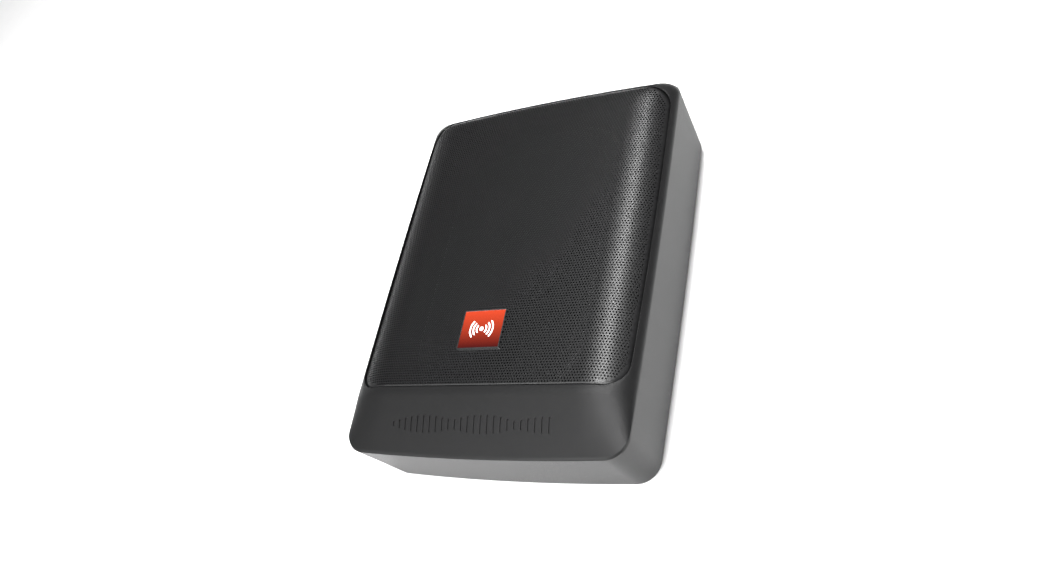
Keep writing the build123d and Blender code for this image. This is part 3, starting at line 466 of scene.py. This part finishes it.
def flat_ring(name, outer, inner, drop, thickness):
    """Ring between two outlines that follows the frame's level."""
    low_out, low_in = frame_level(outer) - drop, frame_level(inner) - drop
    verts, faces = loops_mesh([at_height(outer, low_out), at_height(outer, low_out + thickness),
                               at_height(inner, low_in + thickness), at_height(inner, low_in)])
    return build(name, verts, faces)


grille_frame_ring = flat_ring("grille_frame_ring", opening_inset(FRAME_GAP), opening_inset(SEAT_INSET), 0.0,
                              FRAME_T)
grille_shelf = flat_ring("grille_shelf", opening_inset(-SHELF_BITE), opening_inset(SEAT_INSET), SHELF_DROP,
                         SHELF_T)

# ---- grille ---------------------------------------------------------------------------------
PITCH = 1.96
ROW = 1.77
HOLE_R = 0.62
SHEET_T = 0.9
EDGE_GAP = 0.35
PLAIN_EDGE = 3.0
LIP_W = 1.3
LIP_DROP = 0.8
ARCH_BLEND = 0.8
HOLE_SIDES = 12
FIRST_ROW = 2.2
PLAIN_STRIP_EDGE = 1.7
STRIP_EDGE_REACH = 12
STRIP_EDGE_X = 80
MARGIN_STEPS = (0.35, 0.75, 1.3, 2.0)
MARGIN_EPSILON = 1e-5
EDGE_SLACK = 0.03
LIP_T = 1.0
LIP_CLEAR = 0.05
LIP_SINK = 0.02

x_line = np.linspace(0, OPEN_X + 1, 800)
z_line = -(np.clip(x_line - GRILLE_FLAT_X, 0, None) ** 2) / (2 * GRILLE_ARC_R)
arc_line = np.concatenate([[0], np.cumsum(np.hypot(np.diff(x_line), np.diff(z_line)))])


def to_flat(x):
    """Place across the sheet before it was formed."""
    return np.sign(x) * np.interp(np.abs(x), x_line, arc_line)


def to_formed(s):
    """Plan place of a point of the flat sheet."""
    return np.sign(s) * np.interp(np.abs(s), arc_line, x_line)


def inside_distance(x, y):
    """How far a plan point lies inside the grille opening."""
    mid = (OPEN_LOW_Y + OPEN_HIGH_Y) / 2
    half = (OPEN_HIGH_Y - OPEN_LOW_Y) / 2
    v = y - mid
    across = np.abs(x) - OPEN_X + SIDE_BOW * (v / half) ** 2
    along = np.where(v > 0, v - half + END_BOW * (x / OPEN_X) ** 2, -v - half)
    radius = np.where(v > 0, OPEN_HIGH_R, OPEN_LOW_R)
    corner = np.hypot(np.maximum(across + radius, 0), np.maximum(along + radius, 0)) - radius
    in_corner = (across > -radius) & (along > -radius)
    return -np.where(in_corner, corner, np.maximum(across, along))


def sheet_height(x, y):
    """Top face of the grille: arched at the sides, bent down at its edge."""
    past = np.clip(np.abs(x) - GRILLE_FLAT_X, 0, None)
    arch = CREASE_Z + CROWN_H - GRILLE_ARC_R + np.sqrt(GRILLE_ARC_R ** 2 - past ** 2)
    gap = crown_height(x, y) - arch
    smooth = np.clip(0.5 - gap / (2 * ARCH_BLEND), 0, 1)
    lower = arch + smooth * gap - ARCH_BLEND * smooth * (1 - smooth)
    edge = np.clip((inside_distance(x, y) - EDGE_GAP) / LIP_W, 0, 1)
    return lower - LIP_DROP * (1 - edge) ** 2


rows = int((OPEN_HIGH_Y - OPEN_LOW_Y) / ROW) + 2
columns = int(2 * arc_line[-1] / PITCH) + 2
CELL_TIP = ROW / 2 + PITCH ** 2 / (8 * ROW)
CELL_SHOULDER = ROW - CELL_TIP
CELL = [(PITCH / 2, CELL_SHOULDER), (0, CELL_TIP), (-PITCH / 2, CELL_SHOULDER),
        (-PITCH / 2, -CELL_SHOULDER), (0, -CELL_TIP), (PITCH / 2, -CELL_SHOULDER)]
cells = {}
for j in range(rows):
    y = OPEN_LOW_Y + FIRST_ROW + j * ROW
    for i in range(-columns // 2, columns // 2 + 1):
        cells[(i, j)] = ((i + 0.5 * (j % 2)) * PITCH, y)
keys = list(cells)
centres = np.array([cells[k] for k in keys])
depth_in = inside_distance(to_formed(centres[:, 0]), centres[:, 1])
near_strip = centres[:, 1] < OPEN_LOW_Y + STRIP_EDGE_REACH
enough = np.where(near_strip & (np.abs(centres[:, 0]) < STRIP_EDGE_X), PLAIN_STRIP_EDGE, PLAIN_EDGE)
kept = {k for k, d, e in zip(keys, depth_in, enough) if d > e}

flat_points = []
corner_index = {}
tile_faces = []
hole_starts = []
edge_use = {}
for key in sorted(kept, key=lambda k: (k[1], k[0])):
    cx, cy = cells[key]
    hexagon = []
    for px, py in [(cx + dx, cy + dy) for dx, dy in CELL]:
        tag = (round(px * 50), round(py * 50))
        if tag not in corner_index:
            corner_index[tag] = len(flat_points)
            flat_points.append((px, py))
        hexagon.append(corner_index[tag])
    start = len(flat_points)
    hole_starts.append(start)
    for m in range(HOLE_SIDES):
        a = pi / 6 - pi / HOLE_SIDES + m * 2 * pi / HOLE_SIDES
        flat_points.append((cx + HOLE_R * cos(a), cy + HOLE_R * sin(a)))
    for m in range(6):
        here, following = hexagon[m], hexagon[(m + 1) % 6]
        first = start + 2 * m
        second = first + 1
        third = start + (2 * m + 2) % HOLE_SIDES
        tile_faces.append((first, here, second))
        tile_faces.append((second, here, following, third))
        side = (min(here, following), max(here, following))
        edge_use[side] = edge_use.get(side, 0) + 1

border = [side for side, uses in edge_use.items() if uses == 1]
border_points = sorted({v for side in border for v in side})
local = {v: n for n, v in enumerate(border_points)}
cdt_points = [Vector(flat_points[v]) for v in border_points]
cdt_edges = [(local[a], local[b]) for a, b in border]
sheet_edge = opening_inset(EDGE_GAP)
first_edge = len(cdt_points)
cdt_points += [Vector((to_flat(x), y)) for x, y in sheet_edge]
edge_count = len(sheet_edge)
cdt_edges += [(first_edge + j, first_edge + (j + 1) % edge_count) for j in range(edge_count)]
for step_in in MARGIN_STEPS:
    cdt_points += [Vector((to_flat(x), y)) for x, y in opening_inset(EDGE_GAP, step_in)]
out_verts, _, out_faces, origin, _, _ = delaunay_2d_cdt(cdt_points, cdt_edges, [], 0, MARGIN_EPSILON)
margin_index = []
for point, source in zip(out_verts, origin):
    named = [s for s in source if s < first_edge]
    if named:
        margin_index.append(border_points[named[0]])
    else:
        margin_index.append(len(flat_points))
        flat_points.append((point.x, point.y))


def in_tiles(x, y):
    """True where a flat point belongs to a perforated cell."""
    best = None
    j_guess = (y - OPEN_LOW_Y - FIRST_ROW) / ROW
    for j in (int(np.floor(j_guess)), int(np.floor(j_guess)) + 1):
        i = round(x / PITCH - 0.5 * (j % 2))
        for ii in (i - 1, i, i + 1):
            px, py = (ii + 0.5 * (j % 2)) * PITCH, OPEN_LOW_Y + FIRST_ROW + j * ROW
            d = (px - x) ** 2 + (py - y) ** 2
            if best is None or d < best[0]:
                best = (d, (ii, j))
    return best[1] in kept


for face in out_faces:
    mid = sum((out_verts[v] for v in face), Vector((0, 0))) / len(face)
    if inside_distance(to_formed(mid.x), mid.y) < EDGE_GAP - EDGE_SLACK or in_tiles(mid.x, mid.y):
        continue
    tile_faces.append(tuple(margin_index[v] for v in face))

flat = np.array(flat_points)
plan_x = to_formed(flat[:, 0])
top = np.column_stack([plan_x, flat[:, 1], sheet_height(plan_x, flat[:, 1])])
under = top - np.array([0, 0, SHEET_T])
total = len(top)
faces = [tuple(f) for f in tile_faces] + [tuple(total + v for v in reversed(f)) for f in tile_faces]
for start in hole_starts:
    for m in range(HOLE_SIDES):
        a, b = start + m, start + (m + 1) % HOLE_SIDES
        faces.append((a, b, total + b, total + a))
rim_use = {}
for f in tile_faces:
    for a, b in zip(f, f[1:] + f[:1]):
        rim_use[(a, b)] = rim_use.get((a, b), 0) + 1
hole_vertices = {start + m for start in hole_starts for m in range(HOLE_SIDES)}
for (a, b) in rim_use:
    if (b, a) not in rim_use and not (a in hole_vertices and b in hole_vertices):
        faces.append((b, a, total + a, total + b))
grille_sheet = build("grille_sheet", np.concatenate([top, under]), faces, sharp=50)

lip_outer = sheet_edge
lip_inner = opening_inset(EDGE_GAP, LIP_T)
verts, faces = loops_mesh([at_height(lip_outer, frame_level(lip_outer) + FRAME_T + LIP_CLEAR),
                           at_height(lip_outer, sheet_height(*lip_outer.T) - SHEET_T),
                           at_height(lip_inner, sheet_height(*lip_inner.T) - SHEET_T - LIP_SINK),
                           at_height(lip_inner, frame_level(lip_inner) + FRAME_T + LIP_CLEAR)])
grille_lip = build("grille_lip", verts, faces)

# ---- surround and spider ----------------------------------------------------------------------
SURROUND_T = 0.5
FOOT_W = 3.0
FOOT_LIFT = 0.62
ROLL_LOSS = 0.3


def roll_profile(half, foot, base, rise, steps=14):
    """Offsets and heights across a half-roll with a flat foot each side."""
    arch = [(half * cos(a), base + rise * sin(a)) for a in np.linspace(0, pi, steps + 1)]
    return [(half + foot, base)] + arch + [(-half - foot, base)]


def bend_weights(piece, share):
    """Bake the piece's transform; the share from 0 to 1 for each vertex is clipped but not applied."""
    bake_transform(piece)
    share = np.clip(share, 0, 1)


profile = roll_profile(ROLL_R, FOOT_W, FLANGE_TOP + FOOT_LIFT, ROLL_R - ROLL_LOSS)
upper = [at_height(racetrack(g), z) for g, z in profile]
lower = [at_height(racetrack(g), z - SURROUND_T) for g, z in reversed(profile)]
verts, faces = loops_mesh(upper + lower)
surround_roll = build("surround_roll", verts, faces, body=None)
reach = [g for g, _ in profile] + [g for g, _ in reversed(profile)]
grow = np.repeat(reach, len(racetrack(0)))
bend_weights(surround_roll, (ROLL_R - grow) / (2 * ROLL_R))

SPIDER_IN = 25.6
SPIDER_OUT = 43.0
SPIDER_LOW = 35.5
SPIDER_T = 0.4
WAVE_H = 0.6
WAVE_PITCH = 4.5
WAVE_START_R = 25
angles = np.linspace(0, 2 * pi, 97)[:-1]


def circle(radius):
    """Points round the driver's axis."""
    return np.column_stack([radius * np.cos(angles), DRIVER_Y + radius * np.sin(angles)])


radii = np.linspace(SPIDER_IN, SPIDER_OUT, 60)
wave = SPIDER_LOW + WAVE_H * np.sin(2 * pi * (radii - WAVE_START_R) / WAVE_PITCH)
upper = [at_height(circle(r), z + SPIDER_T) for r, z in zip(radii, wave)]
lower = [at_height(circle(r), z) for r, z in zip(reversed(radii), reversed(wave))]
verts, faces = loops_mesh(upper + lower)
spider_cloth = build("spider_cloth", verts, faces, sharp=60, body=None)
radius_of = np.repeat(np.concatenate([radii, radii[::-1]]), len(angles))
bend_weights(spider_cloth, (SPIDER_OUT - radius_of) / (SPIDER_OUT - SPIDER_IN))


def tube(points, radius, sides=10, steps=40):
    """Round tube along a smooth line through given points."""
    points = np.array(points, float)
    knots = np.linspace(0, 1, len(points))
    t = np.linspace(0, 1, steps)
    fit = [np.polyval(np.polyfit(knots, points[:, axis], min(3, len(points) - 1)), t) for axis in range(3)]
    line = np.column_stack(fit)
    along = np.gradient(line, axis=0)
    along /= np.linalg.norm(along, axis=1)[:, None]
    side = np.cross(along, [0, 0, 1.0])
    side /= np.linalg.norm(side, axis=1)[:, None]
    up = np.cross(side, along)
    verts = []
    for p, s, u in zip(line, side, up):
        verts += [p + radius * (s * cos(a) + u * sin(a)) for a in np.linspace(0, 2 * pi, sides + 1)[:-1]]
    faces = []
    for i in range(steps - 1):
        faces += ring_faces(i * sides, (i + 1) * sides, sides)
    faces += [tuple(range(sides - 1, -1, -1)), tuple(range((steps - 1) * sides, steps * sides))]
    return verts, faces


TINSEL_R = 0.6
TINSEL_TAB_Y = 99
TINSEL_SPAN = 28.8
braids = []
for side in (-1, 1):
    route = [(side * 8, TINSEL_TAB_Y, 40.6), (side * 8, 91, 41.4), (side * 9, 81, 40.9), (side * 9, 70.2, 42.4)]
    verts, faces = tube(route, TINSEL_R)
    braid = build("tinsel_lead_right" if side > 0 else "tinsel_lead_left", verts, faces, body=None)
    bend_weights(braid, (TINSEL_TAB_Y - np.array(verts)[:, 1]) / TINSEL_SPAN)
    braids.append(braid)


# ---- materials ------------------------------------------------------------------------------
def shader(name, color, rough, metallic=0.0, coat=0.0, specular=0.5):
    """A material with a Principled shader whose constants sit on its own sockets."""
    material = bpy.data.materials.new(name)
    material.use_nodes = True
    main = material.node_tree.nodes["Principled BSDF"]
    main.inputs["Base Color"].default_value = (*color, 1)
    main.inputs["Roughness"].default_value = rough
    main.inputs["Metallic"].default_value = metallic
    main.inputs["Coat Weight"].default_value = coat
    main.inputs["Coat Roughness"].default_value = 0.08
    main.inputs["Specular IOR Level"].default_value = specular
    return material, main


def noise(tree, scale, detail=3.0, stretch=None):
    """Noise in object space, stretched along the axes if asked."""
    place = tree.nodes.new("ShaderNodeTexCoord")
    field = tree.nodes.new("ShaderNodeTexNoise")
    field.inputs["Scale"].default_value = scale
    field.inputs["Detail"].default_value = detail
    source = place.outputs["Object"]
    if stretch:
        mapping = tree.nodes.new("ShaderNodeMapping")
        mapping.inputs["Scale"].default_value = stretch
        tree.links.new(source, mapping.inputs["Vector"])
        source = mapping.outputs["Vector"]
    tree.links.new(source, field.inputs["Vector"])
    return field.outputs["Fac"]


def ramp(tree, source, low, high, start=0.3, end=0.7):
    """Blend of two colours, or greys, over a range of a field."""
    node = tree.nodes.new("ShaderNodeValToRGB")
    node.color_ramp.elements[0].position = start
    node.color_ramp.elements[1].position = end
    for element, value in zip(node.color_ramp.elements, (low, high)):
        element.color = (*value, 1) if isinstance(value, tuple) else (value, value, value, 1)
    tree.links.new(source, node.inputs["Fac"])
    return node.outputs["Color"]


def bump(tree, main, source, strength, distance):
    """Fine relief on the main shader."""
    node = tree.nodes.new("ShaderNodeBump")
    node.inputs["Strength"].default_value = strength
    node.inputs["Distance"].default_value = distance
    tree.links.new(source, node.inputs["Height"])
    tree.links.new(node.outputs["Normal"], main.inputs["Normal"])


def finish(name, color, rough, grain, relief, vary=0.12, metallic=0.0, coat=0.0, stretch=None, specular=0.5,
           rough_span=0.06):
    """Common finish: slight colour drift, uneven roughness and a fine grain."""
    material, main = shader(name, color, rough, metallic, coat, specular)
    tree = material.node_tree
    drift = noise(tree, 28.0, 4.0)
    darker = tuple(c * (1 - vary) for c in color)
    lighter = tuple(min(1.0, c * (1 + vary)) for c in color)
    tree.links.new(ramp(tree, drift, darker, lighter), main.inputs["Base Color"])
    fine = noise(tree, grain, 3.0, stretch)
    tree.links.new(ramp(tree, fine, max(0.02, rough - rough_span), min(1.0, rough + rough_span)),
                   main.inputs["Roughness"])
    bump(tree, main, fine, relief, 0.0004)
    return material


def glossy_red_with_painted_light():
    """Glossy red with painted light: bright at the top falling to deep at the bottom, a painted highlight above
    and painted shade below.
    """
    low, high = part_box("badge_face")
    material, main = shader("badge_gloss_painted_light", (0.4, 0.03, 0.02), 0.16, coat=1.0)
    tree = material.node_tree
    place = tree.nodes.new("ShaderNodeTexCoord")
    split = tree.nodes.new("ShaderNodeSeparateXYZ")
    span = tree.nodes.new("ShaderNodeMapRange")
    span.inputs["From Min"].default_value = low[1]
    span.inputs["From Max"].default_value = high[1]
    tree.links.new(place.outputs["Object"], split.inputs["Vector"])
    tree.links.new(split.outputs["Y"], span.inputs["Value"])
    # painted light: the red ramps from painted shade at the bottom of the badge to a painted highlight at its
    # top
    tree.links.new(ramp(tree, span.outputs["Result"], (0.03, 0.001, 0.001), (0.3, 0.028, 0.009), 0.0, 1.0),
                   main.inputs["Base Color"])
    bump(tree, main, noise(tree, 900.0), 0.03, 0.0001)
    return material


def two_leads():
    """Red insulation on the right lead and black on the left."""
    material, main = shader("lead_insulation", (0.4, 0.02, 0.02), 0.35)
    tree = material.node_tree
    place = tree.nodes.new("ShaderNodeTexCoord")
    split = tree.nodes.new("ShaderNodeSeparateXYZ")
    span = tree.nodes.new("ShaderNodeMapRange")
    span.inputs["From Min"].default_value = -0.0005
    span.inputs["From Max"].default_value = 0.0005
    tree.links.new(place.outputs["Object"], split.inputs["Vector"])
    tree.links.new(split.outputs["X"], span.inputs["Value"])
    tree.links.new(ramp(tree, span.outputs["Result"], (0.02, 0.02, 0.02), (0.45, 0.02, 0.02), 0.0, 1.0),
                   main.inputs["Base Color"])
    bump(tree, main, noise(tree, 1500.0), 0.1, 0.0002)
    return material


HOUSING = (0.007, 0.007, 0.0072)
finishes = {
    "housing": finish("housing_coat", HOUSING, 0.42, 2600.0, 0.22, vary=0.05, specular=0.2),
    "grille": finish("grille_paint", (0.006, 0.006, 0.0063), 0.36, 1800.0, 0.12, vary=0.06, specular=0.38),
    "black_plastic": finish("black_plastic", (0.018, 0.018, 0.019), 0.5, 1600.0, 0.3),
    "red_badge": glossy_red_with_painted_light(),
    "bright_rim": finish("bright_rim", (0.72, 0.72, 0.73), 0.14, 900.0, 0.05, metallic=1.0),
    "emblem": finish("emblem_white", (0.8, 0.79, 0.77), 0.25, 900.0, 0.04, vary=0.03, coat=0.5),
    "cover": finish("cover_coat", (0.026, 0.026, 0.027), 0.55, 2200.0, 0.35),
    "seal": finish("seal_foam", (0.016, 0.016, 0.016), 0.85, 1400.0, 0.6),
    "screw": finish("black_oxide", (0.03, 0.03, 0.032), 0.38, 1200.0, 0.1, metallic=0.6),
    "zinc": finish("zinc_plate", (0.55, 0.55, 0.53), 0.3, 1200.0, 0.1, metallic=1.0),
    "rubber": finish("foot_rubber", (0.015, 0.015, 0.015), 0.72, 1100.0, 0.4),
    "brass": finish("turned_brass", (0.68, 0.48, 0.2), 0.26, 900.0, 0.1, metallic=1.0),
    "gold": finish("gold_flash", (0.83, 0.6, 0.25), 0.2, 900.0, 0.05, metallic=1.0),
    "basket": finish("basket_paint", (0.02, 0.02, 0.02), 0.5, 1300.0, 0.3),
    "cone_paper": finish("cone_pulp", (0.028, 0.028, 0.03), 0.6, 700.0, 0.5, stretch=(1, 1, 4)),
    "former": finish("former_foil", (0.65, 0.65, 0.66), 0.3, 900.0, 0.1, metallic=1.0),
    "copper": finish("copper_wire", (0.55, 0.2, 0.08), 0.3, 240.0, 0.5, metallic=0.9, stretch=(1, 1, 14)),
    "spider": finish("spider_resin_cloth", (0.4, 0.25, 0.1), 0.8, 1600.0, 0.7),
    "steel": finish("plated_steel", (0.42, 0.42, 0.43), 0.35, 900.0, 0.15, metallic=1.0),
    "ferrite": finish("ferrite", (0.035, 0.035, 0.038), 0.6, 800.0, 0.3),
    "board": finish("board_mask", (0.008, 0.075, 0.025), 0.35, 500.0, 0.1, coat=0.3),
    "aluminium": finish("machined_aluminium", (0.7, 0.7, 0.71), 0.32, 500.0, 0.2, metallic=1.0,
                        stretch=(1, 12, 1)),
    "chip": finish("epoxy_package", (0.02, 0.02, 0.02), 0.45, 1500.0, 0.2),
    "capacitor": finish("capacitor_sleeve", (0.025, 0.03, 0.08), 0.3, 600.0, 0.05),
    "phenolic": finish("phenolic_paper", (0.25, 0.13, 0.05), 0.5, 900.0, 0.2),
    "lead_red": two_leads(),
    "white_plastic": finish("white_nylon", (0.72, 0.71, 0.67), 0.42, 900.0, 0.1, vary=0.04),
    "red_plastic": finish("red_nylon", (0.5, 0.02, 0.02), 0.4, 900.0, 0.1),
    "blue_plastic": finish("blue_translucent", (0.02, 0.14, 0.55), 0.2, 900.0, 0.05, coat=0.4),
    "wadding": finish("wadding_fibre", (0.5, 0.5, 0.48), 0.95, 500.0, 1.0),
}
slot_of = {row["node"]: row["material_slot"] for row in frame["record"]["subparts"]}
for node, item in frame["nodes"].items():
    item.data.materials.clear()
    item.data.materials.append(finishes[slot_of[node]])

surround_rubber = finish("surround_rubber", (0.05, 0.05, 0.052), 0.45, 900.0, 0.2)
for piece, slot, material, replaced in (
        (housing_shell, "housing", finishes["housing"], ["main_housing"]),
        (baffle, "housing", finishes["basket"], []),
        (grille_sheet, "grille", finishes["grille"], ["grille"]),
        (grille_lip, "grille", finishes["grille"], []),
        (grille_frame_ring, "black_plastic", finishes["black_plastic"], ["grille_frame"]),
        (grille_shelf, "housing", finishes["housing"], []),
        (surround_roll, "rubber", surround_rubber, ["surround"]),
        (spider_cloth, "spider", finishes["spider"], ["spider"]),
        (braids[0], "copper", finishes["copper"], ["tinsel_leads"]),
        (braids[1], "copper", finishes["copper"], [])):
    piece.data.materials.clear()
    piece.data.materials.append(material)
    if replaced:
        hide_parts(*replaced)

# ---- stage, lights and camera ---------------------------------------------------------------
FLOOR_HALF = 6.0
floor_mesh = bpy.data.meshes.new("floor")
floor_mesh.from_pydata([(-FLOOR_HALF, -FLOOR_HALF, 0), (FLOOR_HALF, -FLOOR_HALF, 0),
                        (FLOOR_HALF, FLOOR_HALF, 0), (-FLOOR_HALF, FLOOR_HALF, 0)], [], [(0, 1, 2, 3)])
floor = bpy.data.objects.new("floor", floor_mesh)
bpy.context.scene.collection.objects.link(floor)
floor_mesh.materials.append(finish("floor_paper", (0.9, 0.9, 0.9), 0.7, 60.0, 0.02, vary=0.01))

HORIZON_LEVEL = 0.5
ZENITH_LEVEL = 0.08
SKY_BRIGHT_BELOW = 0.15
SKY_DARK_ABOVE = 0.6
world = bpy.data.worlds.new("studio")
world.use_nodes = True
world_tree = world.node_tree
background = world_tree.nodes["Background"]
background.inputs["Color"].default_value = (1.0, 1.0, 1.0, 1)
# bright low round the horizon, dark overhead, so that the top faces stay deep
sky_place = world_tree.nodes.new("ShaderNodeTexCoord")
sky_split = world_tree.nodes.new("ShaderNodeSeparateXYZ")
sky = world_tree.nodes.new("ShaderNodeMapRange")
sky.interpolation_type = "SMOOTHSTEP"
sky.inputs["From Min"].default_value = SKY_BRIGHT_BELOW
sky.inputs["From Max"].default_value = SKY_DARK_ABOVE
sky.inputs["To Min"].default_value = HORIZON_LEVEL
sky.inputs["To Max"].default_value = ZENITH_LEVEL
world_tree.links.new(sky_place.outputs["Generated"], sky_split.inputs["Vector"])
world_tree.links.new(sky_split.outputs["Z"], sky.inputs["Value"])
world_tree.links.new(sky.outputs["Result"], background.inputs["Strength"])
bpy.context.scene.world = world
bpy.context.scene.view_settings.view_transform = "Standard"


def softbox(name, place, target, width, height, power):
    """Rectangular soft light that faces a point."""
    light = bpy.data.lights.new(name, "AREA")
    light.shape = "RECTANGLE"
    light.size = width
    light.size_y = height
    light.energy = power
    item = bpy.data.objects.new(name, light)
    item.location = place
    item.rotation_euler = (Vector(target) - Vector(place)).to_track_quat("-Z", "Y").to_euler()
    bpy.context.scene.collection.objects.link(item)


softbox("overhead_strip", (0.05, 0.3, 1.15), (0.05, 0.2, 0), 0.14, 1.3, 30)
softbox("front_fill", (-0.3, -1.1, 1.0), (0, -0.4, 0), 1.4, 0.8, 24)
softbox("camera_fill", (0.6, -1.5, 2.0), (0, 0, 0), 1.6, 1.6, 78)

CAMERA_AT = Vector((0.29746, -0.27371, 0.47846))
CAMERA_FORWARD = Vector((-0.50201, 0.45020, -0.73845)).normalized()
CAMERA_UP = Vector((0.06922, 0.87201, 0.48457))
camera_data = bpy.data.cameras.new("camera")
camera_data.lens = 30.027
camera_data.sensor_width = 36.0
camera_data.sensor_fit = "HORIZONTAL"
camera_data.clip_start = 0.01
camera = bpy.data.objects.new("camera", camera_data)
right = CAMERA_FORWARD.cross(CAMERA_UP).normalized()
up = right.cross(CAMERA_FORWARD)
turn = Matrix((right, up, -CAMERA_FORWARD)).transposed().to_4x4()
camera.matrix_world = Matrix.Translation(CAMERA_AT) @ turn
bpy.context.scene.collection.objects.link(camera)
bpy.context.scene.camera = camera
